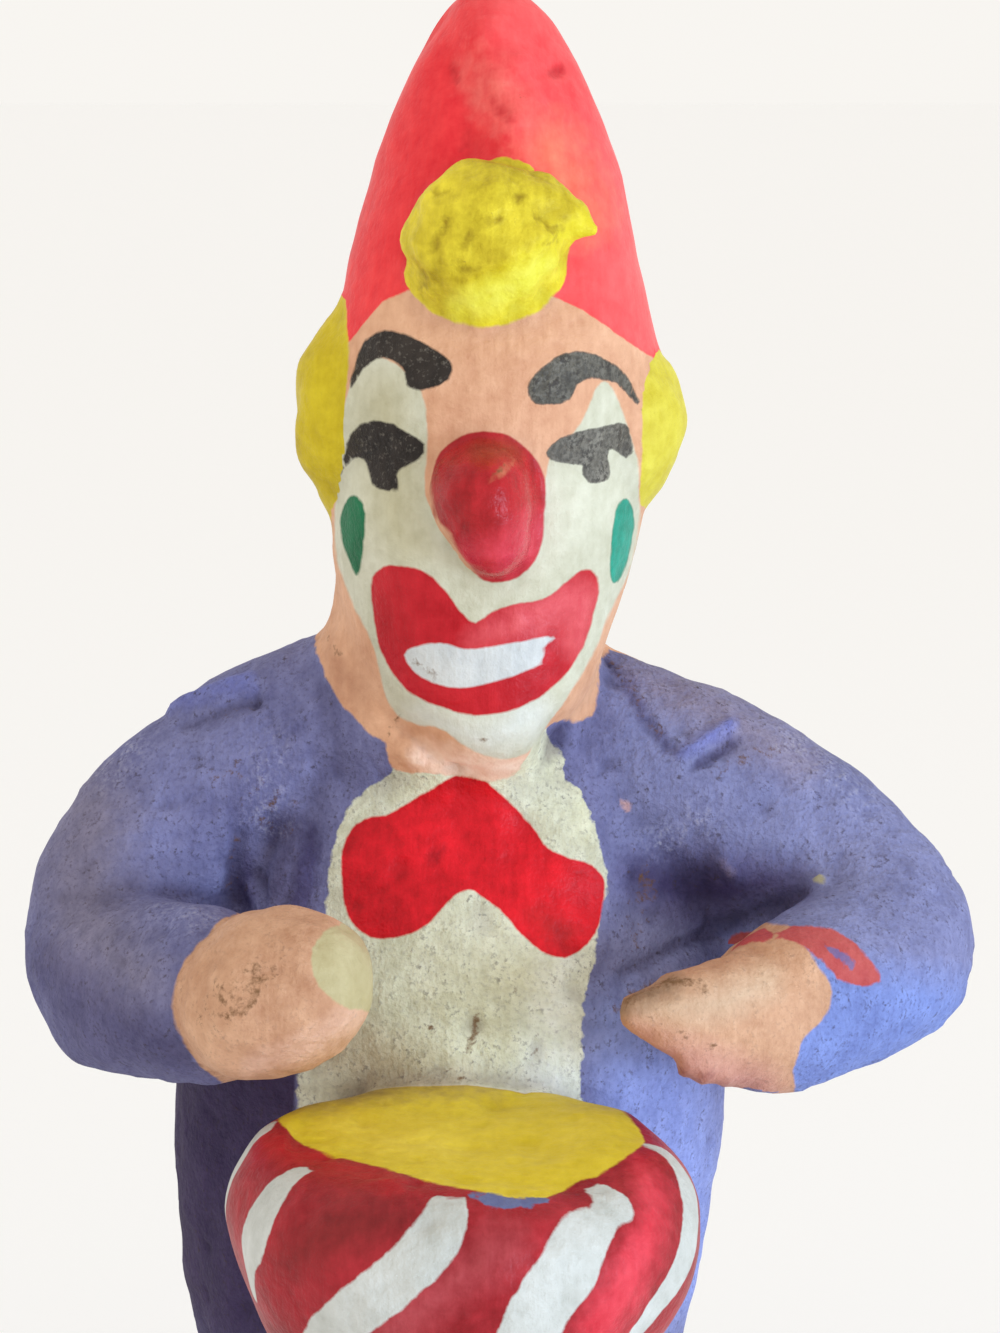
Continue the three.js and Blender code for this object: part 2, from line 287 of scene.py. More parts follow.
# The neck, the head and the hat: a short roll, and one egg of clay drawn up into a blunt cone.
# The hat has no brim, so only its paint and the roll of hair set it off from the head.
chin_drop, face_height, neck_width = 11.6, 36.2, 24
head_width, head_depth, head_forward = 26.3, 27.2, 5
chin_level = neck_level - chin_drop
brim_level = chin_level + face_height
tip_level = cad_high[2] / MM
cheek_level = chin_level + 0.65 * face_height
neck_stations = []
for wide, share in ((1.15, 0), (1.08, 0.4), (1.03, 0.7), (0.91, 1)):
    level = neck_level - 14 + 16 * share
    half = neck_width / 2 * wide
    neck_stations.append((axis_x(level) - 0.3 - 0.4 * share, body_back - 1.5 - 2.5 * share, level,
                          0.86 * half, half))
press(roll(neck_stations, (0, 1, 0)))


def head_radius(level):
    """Share of the half width at each level: s^0.44 down the hat, (1 - t^1.7)^0.55 round the jaw."""
    down = np.clip((tip_level - level) / (tip_level - brim_level), 0, 1)
    jaw = np.clip((cheek_level - level) / (cheek_level - chin_level), 0, 1)
    cheek = np.clip((brim_level - level) / (brim_level - cheek_level), 0, 1)
    return np.where(down < 1, 1.03 * down ** 0.44, (1.03 - 0.03 * cheek) * (1 - jaw ** 1.7) ** 0.55)


def head_middle(level):
    """The head's middle at a level: the chin juts out and the tip of the hat leans back."""
    jaw = 1 - ease(level, chin_level, cheek_level)
    hat = ease(level, brim_level, tip_level)
    across = axis_x(level) + 0.8 + 1.9 * jaw ** 3 - 1 * hat ** 0.7
    return across, body_back - head_forward - 5.6 * jaw ** 1.3 + 3.6 * hat


def head_points():
    """The egg turned on its own bent axis, with rings closest together at the tip and the chin."""
    turn = round_turn(88)
    level = np.concatenate([tip_level + (brim_level - tip_level) * np.linspace(0, 1, 40)[:-1] ** 1.8,
                            np.linspace(brim_level, cheek_level, 12)[:-1],
                            cheek_level + (chin_level - cheek_level) * np.sin(np.linspace(0, np.pi / 2, 36))])
    radius = head_radius(level)[:, None]
    radius[[0, -1]] = 0
    across, along = (middle[:, None] for middle in head_middle(level))
    return np.stack([across + radius * np.cos(turn) * head_width / 2,
                     along + radius * np.sin(turn) * head_depth / 2, level[:, None] + 0 * turn], -1)


press(head_points())

# The nose: a ball of clay pushed onto the middle of the face, thinner below, and painted a shiny red.
nose_level = chin_level + 0.675 * face_height
nose_middle = np.array([axis_x(nose_level) + 0.9, body_back - head_forward - head_depth / 2 - 0.6,
                        nose_level])
nose = [(*(nose_middle + (aside, 0, above)), deep, wide) for aside, above, deep, wide in
        ((-0.2, 1.2, 5.8, 3.7), (0, -0.5, 5.7, 3.6), (0.5, -2.9, 4.7, 2.6))]
press(roll(nose, (0, -1, 0)))

# The hair: a roll of clay laid round the back of the head from temple to temple, and a lump in front
# of the hat with a curl that points aside. Both are dabbed rough with a tool and painted yellow.
hair_thickness, hair_height, tuft_width = 11, 18, 15
hair_reach = head_width / 2 - hair_thickness / 2 + 3.2
hair = []
for share in np.linspace(0, 1, 9):
    angle = (1.05 - 1.1 * share) * np.pi
    level = chin_level + (0.84 - 0.025 * share) * face_height
    hair.append((axis_x(level) + 0.7 + hair_reach * math.cos(angle),
                 body_back - head_forward + hair_reach * math.sin(angle),
                 level, hair_height / 2 * (1.02 - 0.22 * share), hair_thickness / 2))
press(roll(hair, (0, 0, 1)))
tuft_level = brim_level + 8.8
tuft_x = axis_x(tuft_level) + 0.7
tuft_y = body_back - head_forward - head_depth * 0.42
tuft = (np.array([tuft_x - 0.8, tuft_y, tuft_level + 0.4]),
        np.array([0.43, 0.36, 0.46]) * tuft_width, (0.12, 0.2, -0.1))
curl = [(tuft_x + aside, tuft_y - forward, tuft_level + above, tall, thick)
        for aside, forward, above, tall, thick in
        ((0.4, 0, 1.4, 5.2, 4.8), (3.4, 0.2, 2.2, 3.9, 3.3), (6.2, 0.4, 1.7, 2, 1.8),
         (7.6, 0.6, 1.1, 0.8, 0.8))]
press(ball(*tuft))
press(roll(curl, (0, 0, 1)))

# The joining: the lumps are pressed into one skin and the joints are rubbed smooth with a wet finger.
# Afterwards it holds the marks of the modelling: shallow dents, folds, ridges and pores.
voxel, joint_rounds, joint_pull = 0.67, 4, 0.6


def joined(lumps):
    """One closed mesh around all the lumps, made of even squares a voxel wide, as points in millimetres."""
    starts = np.cumsum([0] + [len(points) for points, _ in lumps])
    points = np.concatenate([points for points, _ in lumps]) * MM
    faces = np.concatenate([faces + start for (_, faces), start in zip(lumps, starts)])
    rough = bpy.data.meshes.new("lumps")
    rough.from_pydata(points.tolist(), [], faces.tolist())
    holder = bpy.data.objects.new("lumps", rough)
    bpy.context.collection.objects.link(holder)
    remesh = holder.modifiers.new("skin", "REMESH")
    remesh.mode = "VOXEL"
    remesh.voxel_size = voxel * MM
    skin = bpy.data.meshes.new_from_object(holder.evaluated_get(bpy.context.evaluated_depsgraph_get()))
    bpy.data.objects.remove(holder)
    bpy.data.meshes.remove(rough)
    return skin


def read(mesh, what="co"):
    """The mesh's points in millimetres, or its point normals."""
    source = mesh.vertices if what == "co" else mesh.vertex_normals
    values = np.empty(len(mesh.vertices) * 3, np.float32)
    source.foreach_get("co" if what == "co" else "vector", values)
    return values.reshape(-1, 3).astype(float) / (MM if what == "co" else 1)


def rubbed_smooth(points, rounds, pull):
    """Each point drawn towards the mean of its neighbours, by a share, so many times over. The mean comes
    from adding up both ends of every edge."""
    count = np.bincount(edges.ravel(), minlength=len(points))[:, None]
    for _ in range(rounds):
        total = np.stack([np.bincount(edges[:, 0], points[edges[:, 1], k], len(points))
                          + np.bincount(edges[:, 1], points[edges[:, 0], k], len(points))
                          for k in range(3)], -1)
        points = points + pull * (total / count - points)
    return points


def write(points):
    """Puts the skin's points where these are, in millimetres."""
    skin.vertices.foreach_set("co", (points * MM).astype(np.float32).ravel())
    skin.update()


skin = joined(clay)
skin.name = "painted_clown"
edges = np.empty(len(skin.edges) * 2, np.int32)
skin.edges.foreach_get("vertices", edges)
edges = edges.reshape(-1, 2)
points = rubbed_smooth(read(skin), joint_rounds, joint_pull)
write(points)
normals = read(skin, "normal")

# Where things are on the skin: each point's place as seen from in front, and how deep it lies
# inside each lump. The paint and the tool marks are set out with these.
nowhere = -6.0
view_distance, view_height, view_tilt = 280, 110, math.radians(11)
view_target = np.array([7, -4, view_height])
view_ahead = np.array([0, math.cos(view_tilt), -math.sin(view_tilt)])
view_up = np.array([0, math.sin(view_tilt), math.cos(view_tilt)])
view_eye = view_target - view_distance * view_ahead


def seen(points):
    """Millimetres from the view's middle, towards the figure's left and up: the offset from the eye, over
    its depth, times the distance of the middle."""
    offset = points - view_eye
    depth = offset @ view_ahead
    return np.stack([offset[:, 0], offset @ view_up], -1) * (view_distance / depth)[:, None]


def in_ball(points, middle, halves, turned):
    """Rough depth inside a pressed ball: 1 less the scaled distance, times the mean half size."""
    local = (points - middle) @ np.array(Euler(turned).to_matrix())
    return (1 - np.linalg.norm(local / halves, axis=1)) * halves.mean()


def in_roll(points, stations, squash=1):
    """Depth inside a roll: the best of (radius less distance) over balls strung along its curve."""
    spine = through(np.array(stations, float), np.linspace(0, 1, 40))
    scale = np.array([1, 1, squash])
    reach = np.linalg.norm((points[:, None] - spine[None, :, :3]) * scale, axis=2)
    return (spine[:, 4] - reach).max(axis=1)


def in_head(points):
    """Depth inside the egg of head and hat, measured level: its radius less the distance to its axis."""
    across, along = head_middle(points[:, 2])
    away = np.hypot((points[:, 0] - across) / head_width, (points[:, 1] - along) / head_depth) * 2
    inside = (head_radius(points[:, 2]) - away) * head_width / 2
    return np.where(points[:, 2] > chin_level - 0.7, inside, nowhere)


x, y, z = points.T
spot = seen(points)
spot_x, spot_y = spot.T
arm_depth = np.maximum.reduce([in_roll(points, left_sleeve), in_roll(points, right_sleeve),
                               in_roll(points, left_hand), in_ball(points, *right_hand)])
head_depth_in = in_head(points)
on_arm = arm_depth > -0.9
on_head = (head_depth_in > -1) & (z > chin_level - 0.5)
front = body_back - y
toward_front = ease(normals @ -view_ahead, -0.1, 0.3)
from_drum_axis = np.hypot(x - drum_x, y - drum_y)
drum_depth = np.where((z < drum_top + 0.8) & (z > drum_top - drum_height - 0.8),
                      drum_width / 2 - from_drum_axis, nowhere)


def smooth_line(stations, closed=False, steps=6):
    """The smooth curve through the stations, as short straight pieces."""
    stations = np.array(stations, float)
    if not closed:
        return through(stations, np.linspace(0, 1, (len(stations) - 1) * steps + 1))
    wrapped = np.concatenate([stations[-2:], stations, stations[:3]])
    share = np.linspace(2, 2 + len(stations), len(stations) * steps, endpoint=False) / (len(wrapped) - 1)
    return through(wrapped, share)


def stroke(places, stations):
    """Depth inside a brush stroke: its half width less the distance to its line, both from the nearest
    place along each straight piece."""
    line = smooth_line(stations)
    depth = np.full(len(places), nowhere)
    near = ((places > line[:, :2].min(0) + nowhere) & (places < line[:, :2].max(0) - nowhere)).all(axis=1)
    start, run = line[:-1], np.diff(line, axis=0)
    offset = places[near][:, None] - start[None, :, :2]
    share = ((offset * run[:, :2]).sum(2) / ((run[:, :2] ** 2).sum(1) + 1e-9)).clip(0, 1)
    away = np.linalg.norm(offset - share[..., None] * run[:, :2], axis=2)
    depth[near] = (start[:, 2] + share * run[:, 2] - away).max(axis=1)
    return depth


def strokes(places, lines):
    """Depth inside any of several brush strokes."""
    return np.maximum.reduce([stroke(places, stations) for stations in lines])


def outline(places, corners):
    """Depth inside a closed outline: the least distance to its edges, with the sign from counting how
    many edges a level line from the place crosses."""
    line = smooth_line(corners, closed=True)
    depth = np.full(len(places), nowhere)
    near = ((places > line.min(0) + nowhere) & (places < line.max(0) - nowhere)).all(axis=1)
    x, y = places[near].T[:, :, None]
    start, end = line, np.roll(line, -1, axis=0)
    run = end - start
    offset = np.stack([x - start[:, 0], y - start[:, 1]], -1)
    share = ((offset * run).sum(2) / ((run ** 2).sum(1) + 1e-9)).clip(0, 1)
    away = np.linalg.norm(offset - share[..., None] * run, axis=2).min(axis=1)
    crosses = (start[:, 1] > y) != (end[:, 1] > y)
    meets = start[:, 0] + (y - start[:, 1]) * run[:, 0] / np.where(run[:, 1] == 0, 1e-9, run[:, 1])
    depth[near] = np.where((crosses & (x < meets)).sum(axis=1) % 2 == 1, away, -away)
    return depth


def waves(points, size, seed, count=24):
    """Smooth unevenness between about -1 and 1: sines across random directions, each a size long."""
    chance = np.random.default_rng(seed)
    direction = unit(chance.normal(size=(count, 3)))
    length = size * chance.uniform(0.7, 1.4, count)
    phase = chance.uniform(0, 2 * np.pi, count)
    total = np.sin(points @ (direction / length[:, None]).T * 2 * np.pi + phase).sum(axis=1)
    return total * math.sqrt(2 / count) / 1.6


paints, crisp = [], 0.1


def painted(name, depth, where, dark, light, roughness, ragged, tooth):
    """Keeps one coat of paint: how deep each point lies inside its edge, in millimetres, or nowhere where
    it can't be, with its two tones, its roughness, how ragged its edge is and how much grain shows."""
    kept = np.where(where, depth, nowhere)
    paints.append((name, kept, dark, light, ragged, crisp, None, roughness, tooth))
    return kept


def toned(coat, depth, dark, light, soft=1.2, ragged=1):
    """Keeps a change of tone inside one coat of paint, where it is thicker, thinner or dirtier, or where it
    is painted light or shade. It fades out over twice the soft width, in millimetres."""
    paints.append((f"{coat}_{len(paints)}", depth, dark, light, ragged, soft, coat, None, None))


def stroke_tones(coat, *rows):
    """Keeps changes of tone that are one brush stroke each: its line, and then as for toned."""
    for line, *look in rows:
        toned(coat, stroke(spot, line), *look)


# The coat's blue is brushed on thin and uneven, and greyer on the right arm and over the left shoulder.
# Painted light makes the half at the figure's left lighter, and its left forearm and the coat under it
# brighter and bluer; painted highlights run along the ridges at the shoulders, and painted shade darkens
# the folds and the hollow under the left arm.
coat_dark, coat_light, coat_roughness = (98, 98, 140), (134, 136, 180), 0.78
# Painted light: the coat lighter on the figure's left, the side towards the window.
toned("coat", np.minimum(spot_x - 9, 4 - spot_y), (108, 110, 150), (144, 148, 192), 2.4, 3)
# Greyer paint on the right arm, then painted light, brighter and bluer, on the coat under the left forearm.
stroke_tones(
    "coat",
    ([(-34, -12, 3), (-35, -20, 3.5), (-30, -26, 2)], (106, 102, 128), (144, 138, 164), 2.4, 3),
    ([(10, -30, 3), (13, -38, 4), (15, -50, 4)], (126, 138, 196), (160, 174, 234), 2, 2),
)
# Painted light: the left forearm brighter and bluer.
toned("coat", np.where(on_arm, np.minimum(spot_x - 18, -24 - 0.16 * (spot_x - 24) - spot_y), nowhere),
      (106, 120, 178), (138, 158, 222), 2, 2)
right_ridge = [(-27.2, -3.7, 0.1), (-24.6, -2.5, 0.3), (-22.4, -1.7, 0.5), (-20.8, -1.3, 0.4)]
left_ridge = [(15.2, -7.2, 0.2), (17.4, -6, 0.45), (19.2, -4.9, 0.3)]
folds = ([(9.4, 0.6, 0.2), (11.4, -2.6, 0.35), (13.3, -5.6, 0.3), (14.6, -7, 0.2)],
         [(16.6, -7.9, 0.1), (18.6, -6.8, 0.2), (19.8, -6, 0.1)],
         [(-21, -16, 0.3), (-21.4, -18, 0.5), (-21.6, -19.6, 0.5)],
         [(-16, -13.5, 0.5), (-16.4, -17.5, 1), (-17, -20, 1)])
# Greyer paint over the left shoulder, painted shade in the hollow under the left arm and in the folds,
# painted highlights along the shoulder ridges, and a pale chip and a pink speck.
stroke_tones(
    "coat",
    ([(12.5, -1, 1.2), (19, -4.2, 2), (25, -8, 1.2)], (122, 114, 140), (154, 146, 172), 2, 2),
    ([(12, -17.4, 1), (17.5, -18.5, 2.4), (24, -18, 0.8)], (68, 60, 106), (98, 90, 144), 2.2, 2),
    *((ridge, (104, 110, 178), (136, 144, 214), 0.7, 1.2) for ridge in (right_ridge, left_ridge)),
    *((fold, (68, 64, 106), (100, 96, 142), 0.6, 1.6) for fold in folds),
    ([(18.6, -16.2, 0.25), (19.3, -17.2, 0.3)], (120, 112, 150), (156, 148, 182), 0.25),
    ([(10.4, -11.5, 0.3), (10.7, -11.7, 0.3)], (190, 150, 150), (214, 176, 176), 0.15),
)

# The trousers, the base and the shoes have one plain coat each, kept simple because the photograph
# ends above them. The base is off-white like the shirt, the shoes black like the brows.
anywhere = np.ones(len(points), bool)
painted("base", base_thickness + 0.5 - z, anywhere, (176, 170, 148), (208, 204, 182), 0.7, 0.5, 0.6)
shoe_depth = np.maximum(*(in_ball(points, *place) for place in shoes)) + 1.8
low_down = (z > base_thickness - 0.3) & (z < hem_level - 10)
painted("shoes", shoe_depth, low_down, (36, 31, 30), (66, 59, 55), 0.5, 0.6, 0.4)

# The shirt front: cream paint laid over the wet blue of the coat, from the neck to the hem, thin in
# places, with the grain of the clay showing as pits and small cracks.
shirt_edge = [(-8.8, -8.5), (-12.2, -11.1), (-13.8, -14.5), (-14.6, -19), (-14.9, -24), (-15.8, -29.5),
              (-16.8, -36), (-16.5, -50), (-14.2, -62), (-5, -67), (4.2, -62), (6.2, -50), (6.5, -38.6),
              (6.9, -28.5), (8, -24.5), (8.6, -20.5), (9.2, -17.8), (8.2, -14.3), (6.8, -10.6), (5.4, -9.2),
              (4.9, -6.4), (0, -1), (-5.8, -3)]
coat_front = (front > 0) & (~on_arm | (spot_y > -12)) & (z > hem_level - 0.5)
coat_front &= z < chin_level + 9
shirt = painted("shirt", outline(spot, shirt_edge), coat_front, (192, 190, 162),
                (238, 240, 218), 0.7, 1.1, 0.9)
# Painted shade darkens the shirt near the right hand; painted light brightens it low at the figure's left and
# at the top under the chin.
stroke_tones(
    "shirt",
    ([(-14.5, -29, 2), (-10.5, -33.5, 3), (-4, -35.5, 1.5)], (172, 160, 132), (212, 202, 174), 2),
    ([(5.8, -24, 0.8), (4.5, -30, 2), (4, -35, 2)], (222, 228, 214), (252, 255, 250), 2),
    ([(-8, -10.5, 1), (5.2, -8.5, 1), (7.2, -13.5, 1)], (212, 212, 180), (246, 246, 220), 1),
)

# The bow: a red bow tie painted under the chin, its two ends hanging wide over the shirt.
bow_edge = [(-3.9, -9.2), (-1.9, -9.1), (-0.4, -10.2), (2.8, -13.3), (3.9, -15), (5.6, -15.9), (7.7, -16.5),
            (8.9, -17.8), (8.8, -20.1), (7.9, -22.5), (6, -24.1), (4, -24), (2, -22.5), (0.3, -20.5),
            (-1.5, -19), (-3, -18.5), (-4.6, -19.8), (-6.2, -21.5), (-8.1, -22.4), (-10.7, -22.6),
            (-12.3, -21.4), (-13.2, -19.4), (-13.3, -16.3), (-12.8, -14.1), (-11.4, -12.7),
            (-9.2, -12.2), (-6.2, -10.5)]
painted("bow", outline(spot, bow_edge), coat_front, (178, 3, 20), (244, 24, 42), 0.42, 0.35, 0.55)
stroke_tones(
    "bow",
    ([(-5.7, -15.9, 0.3), (-4.9, -15.1, 0.2)], (120, 0, 14), (176, 8, 28), 0.5),
    ([(3, -20.6, 0.4), (5.4, -22.4, 0.8)], (136, 10, 18), (206, 34, 40), 1, 2),
)

# The skin of face and neck: a flesh coat under all the other face paint, which ends in a ragged line
# on the collar of the coat. A painted highlight lightens the lump where the neck meets the chin, and
# painted shade darkens the neck along the right jaw.
neck_edge = [(-16.7, 8.9), (-15.5, 5.5), (-15.2, 2.2), (-14.7, 0.1), (-14, -2.1), (-12.3, -4.1),
             (-10.5, -5.5), (-9.2, -6.3), (-9.2, -7.5), (-8.4, -8.7), (-5.7, -8.7), (-3.3, -9.3),
             (-0.7, -9.5), (1.2, -8.9), (2.3, -7.6), (3.6, -6), (5.2, -5.2), (6.9, -4.4), (8.1, -3.4),
             (8.6, 0.6), (10.4, 2.8), (13.6, 8.9), (21.7, 30.5), (0, 62), (-21.7, 30.5)]
nape_level, nape_slope, nape_middle = 110.5, 0.12, 4
nape = z - nape_level + nape_slope * (x - nape_middle)
painted("skin", np.where(front > 0, outline(spot, neck_edge), nape), z > chin_level - 3, (206, 150, 116),
        (238, 188, 152), 0.6, 0.6, 0.45)
# Painted shade along the right side of the neck, and a painted highlight on the lump under the chin.
stroke_tones(
    "skin",
    ([(-15.5, 4, 0.8), (-12.8, -1, 0.8), (-11, -3.5, 0.4)], (184, 130, 100), (218, 168, 134)),
    ([(-6, -7.2, 0.9), (-3, -8.2, 1.2), (1.5, -8.4, 0.9)], (246, 206, 182), (255, 236, 218), 0.9),
)

# The white face: thick white over cheeks, eyes and chin, open over the forehead and the bridge.
white_edge = [(-13.8, 12.2), (-13.6, 16.4), (-13.2, 19.7), (-12.6, 22.2), (-11.8, 24.6), (-10.4, 25.8),
              (-8.6, 25.2), (-6.6, 23.2), (-5.9, 20.5), (-5.9, 15.5), (-5, 13.4), (-2.2, 12.4), (1.5, 12.4),
              (3, 13), (3.6, 15.5), (4.3, 17.8), (6, 19.5), (7, 21.4), (8, 23.4), (9, 23.6), (9.8, 21.8),
              (10.7, 19.2), (11.4, 17), (11.5, 13), (10.8, 8.5), (9.2, 4.4), (7.9, 1.2), (6.3, -1.6),
              (5, -4.2), (3.7, -6.2), (1.8, -7.4), (-0.8, -7.4), (-3.2, -6.3), (-4.7, -5.2), (-7.5, -4.6),
              (-9, -3.3), (-9.8, -1.3), (-10.7, 2), (-12.5, 5.5), (-13.6, 8.9)]
_, head_along = head_middle(z)
face = on_head & (y < head_along - 0.3)
painted("white", outline(spot, white_edge), face, (190, 188, 162), (222, 221, 200), 0.55, 0.3, 0.4)
# Painted light, cool and pale, on the chin; painted shade, darker and yellower, beside the right eye.
stroke_tones(
    "white",
    ([(-6.5, -4, 0.8), (-1.5, -5.8, 1.2), (2.5, -4, 1.4)], (208, 210, 200), (236, 238, 232), 1.4),
    ([(-9.4, 22.5, 1.5), (-8.5, 13, 1.8), (-7.5, 10, 1.2)], (178, 172, 138), (210, 205, 174), 1.6, 1.5),
)

# The black marks: two heavy brows, and under each an arched eye with one stroke down for the pupil.
# The paint is thin and speckled where the brush ran dry.
right_brow = [(-12.3, 23.1), (-11.8, 25.7), (-11, 27.2), (-9.5, 28), (-7.6, 27.6), (-5.5, 26.4),
              (-4.2, 25.5), (-3.9, 24.7), (-4.4, 23.7), (-5.5, 23.3), (-6.6, 23.1), (-7.6, 23.5),
              (-7.9, 24.5), (-8.6, 25.3), (-9.7, 25.7), (-10.8, 25.2), (-11.8, 24)]
left_brow = [(11.7, 21.2), (11.1, 22.8), (10.1, 24.5), (8.7, 25.6), (7.1, 26.2), (5.2, 26), (3.7, 25),
             (2.3, 23.7), (2.4, 22.4), (3.1, 21.9), (4.9, 22), (5.8, 22.5), (6.1, 23.4), (7.1, 24),
             (8.4, 24), (9.6, 23.6), (10.6, 22.6)]
right_eye = [(-13.6, 15.3), (-13, 17.3), (-12.2, 19.2), (-11.2, 20.2), (-9.9, 20.5), (-8.5, 20.1),
             (-6.2, 18.7), (-6.3, 17.6), (-7.3, 16.9), (-8.3, 16.4), (-8.3, 15.5), (-8.1, 14.7),
             (-9.4, 14.8), (-10.4, 15.3), (-10.8, 16.4), (-11.1, 17.2), (-12, 17.4), (-12.8, 16.6)]
left_eye = [(3.8, 18), (4.9, 19), (6.2, 19.5), (7.5, 19.8), (9, 20.2), (10.3, 20.2), (10.6, 19.2), (11, 18),
            (10.3, 17.5), (9.2, 18.3), (8.7, 18), (8.9, 17.3), (9, 16.1), (8.6, 15.5), (7.5, 15.4),
            (6.8, 15.8), (6.9, 16.8), (5.2, 17), (4.1, 17.4)]
black_marks = (right_brow, left_brow, right_eye, left_eye)
black_depth = np.maximum.reduce([outline(spot, edge) for edge in black_marks])
painted("black", black_depth, face, (24, 18, 16), (62, 54, 48), 0.42, 0.45, 0.8)
toned("black", spot_x - 1.5, (74, 70, 62), (150, 146, 134), 0.3)

# The green dabs: one upright touch of the brush on each cheek.
right_dab = [(-11.8, 14.3), (-11, 13.5), (-10.8, 12), (-11.1, 10.1), (-11.8, 7.6), (-12.4, 8.6),
             (-13.1, 10.8), (-13.2, 12.6), (-12.6, 13.9)]
left_dab = [(10.4, 14), (10.9, 13.3), (11, 11.6), (10.5, 9), (9.6, 7), (9, 7.8), (9, 10.5),
            (9.4, 12.9), (9.9, 13.8)]
painted("green", np.maximum(outline(spot, right_dab), outline(spot, left_dab)), face, (2, 74, 40),
        (14, 120, 76), 0.45, 0.25, 0.4)
toned("green", spot_x - 2, (16, 122, 98), (44, 180, 154), 0.3)

# The mouth: a broad red grin, and one row of white teeth painted over it.
lip_edge = [(-10.7, 7), (-9.9, 8.1), (-8.5, 8.5), (-6.2, 8), (-4.5, 6.4), (-3.3, 4.6), (-2.1, 3.6),
            (-0.7, 4.5), (1.2, 5.2), (3.6, 5.7), (5.2, 6.9), (6.5, 8), (7.7, 7.9), (8.1, 6.2), (7.7, 3.9),
            (6.8, 1.5), (5.4, -0.7), (3.3, -2.6), (0.8, -3.7), (-2.1, -4), (-5, -3.3), (-7.7, -2),
            (-9.6, 0.7), (-10.5, 3.9)]
painted("lips", outline(spot, lip_edge), face, (172, 4, 22), (210, 36, 48), 0.4, 0.3, 0.35)
# A painted highlight: the lips lighter pink on the figure's left.
stroke_tones("lips",
             ([(-2.4, 2.2, 0.3), (2, 4, 1.2), (6.5, 5.5, 1.6), (6.4, 2, 0.9)],
              (212, 70, 80), (236, 112, 116), 1.2))
teeth_edge = [(-7.9, 1), (-7.2, 1.6), (-5, 2), (-2.7, 1.5), (0, 1.8), (2.9, 2.3), (4.7, 2.5), (3.5, 1.4),
              (3.7, 0.4), (2, -0.4), (0.3, -1), (-2.5, -1.7), (-4.6, -1.6), (-6.3, -1), (-7.4, -0.1)]
painted("teeth", outline(spot, teeth_edge), face, (190, 194, 194), (224, 226, 224), 0.45, 0.25, 0.4)

# The hat: one warm red from the brow up to the tip, brushed downwards. Its edge is cut in with a
# brush across the forehead, and behind it runs down to the hair.
hat_line = np.interp(spot_x, *zip((-13.3, 26.4), (-12.3, 27.2), (-9.8, 30.4), (-7.6, 31.4), (-2.5, 31.2),
                                  (4.6, 30.9), (7.1, 29.7), (10.7, 27.1), (13.7, 25)))
hat_depth = np.where(front > 5, (spot_y - hat_line) * 0.9, z - brim_level + 6)
painted("hat", hat_depth, on_head & (z > brim_level - 9), (224, 24, 42), (250, 68, 70), 0.42, 0.3, 0.25)

crest = np.interp(spot_y, (30, 42, 46.6, 51.6, 60), (1.5, 0.7, 1.1, -1.2, -1.8))
# Painted light: the hat lighter beyond the crest on the figure's left, and two lighter patches on it.
toned("hat", np.minimum(spot_x - crest, front - 3), (238, 64, 70), (250, 98, 98), 1.6, 4)
stroke_tones(
    "hat",
    ([(4, 43, 2), (7, 37.5, 1.6)], (246, 100, 80), (255, 140, 112), 2, 3),
    ([(-2.5, 50, 0.8), (-0.5, 47.5, 1.8), (1.5, 45, 1.2)], (232, 62, 68), (252, 118, 108), 1.4, 4),
)
# Painted shade: the pits darker red.
for pit in ([(-0.9, 47.4, 0.1), (-0.1, 46.1, 0.35), (0.9, 44.8, 0.1)], [(4.3, 49.3, 0.2), (5.2, 49.9, 0.3)],
            [(-4.3, 50.3, 0.1), (-3.9, 49.2, 0.2)], [(-2.8, 45, 0.1), (-3.3, 43.4, 0.1)]):
    toned("hat", stroke(spot, pit), (186, 22, 36), (226, 52, 58), 0.4)

# The hair: bright yellow over the roll at the back and the lump on the hat, up to the joints. The
# creases of the tool dabs are painted dark, painted shade dulls the top of the lump towards the figure's
# right, and a painted highlight lights its lower lobe.
tuft_depth = np.maximum(in_ball(points, *tuft), in_roll(points, curl)) + 0.5
hair_depth = in_roll(points, hair, squash=hair_thickness / hair_height) + 0.55
hair_depth = np.where(on_head & (head_depth_in > -0.2), -1, hair_depth)
right_temple = np.interp(spot_y, (13, 18, 22.2, 25, 27.1, 30.7, 31.5),
                         (-14.2, -13.4, -12.8, -12.45, -12.55, -12.9, -14))
at_right_temple = (front > -8) & (spot_x < 0) & (z > chin_level + 16)
hair_depth = np.maximum(hair_depth, np.where(at_right_temple, right_temple - spot_x, nowhere))
left_temple = np.interp(spot_y, (13, 17, 22, 25, 27), (11.6, 11.8, 11.7, 11.9, 13.3))
beside = (front > 1) & (spot_x > 0)
hair_depth = np.minimum(hair_depth, np.where(beside, spot_x - left_temple, -nowhere))
yellow = painted("hair", np.maximum(tuft_depth, hair_depth), z > chin_level + 10, (206, 184, 14),
                 (242, 230, 56), 0.5, 0.35, 0.55)
toned("hair", -12.4 - spot_x, (186, 160, 8), (224, 202, 40), 0.8)
toned("hair", spot_x - 11, (198, 180, 38), (232, 222, 86), 0.8)
dull_edge = [(-8.6, 33.8), (-8.4, 37.3), (-5.6, 40.8), (-2.8, 42.6), (0, 43.2), (2.7, 42), (5.8, 40.2),
             (7.2, 38.4), (5, 36.9), (1.9, 34.6), (-1.2, 32.6), (-3.2, 30.7), (-5.1, 28.4), (-7.2, 29.6)]
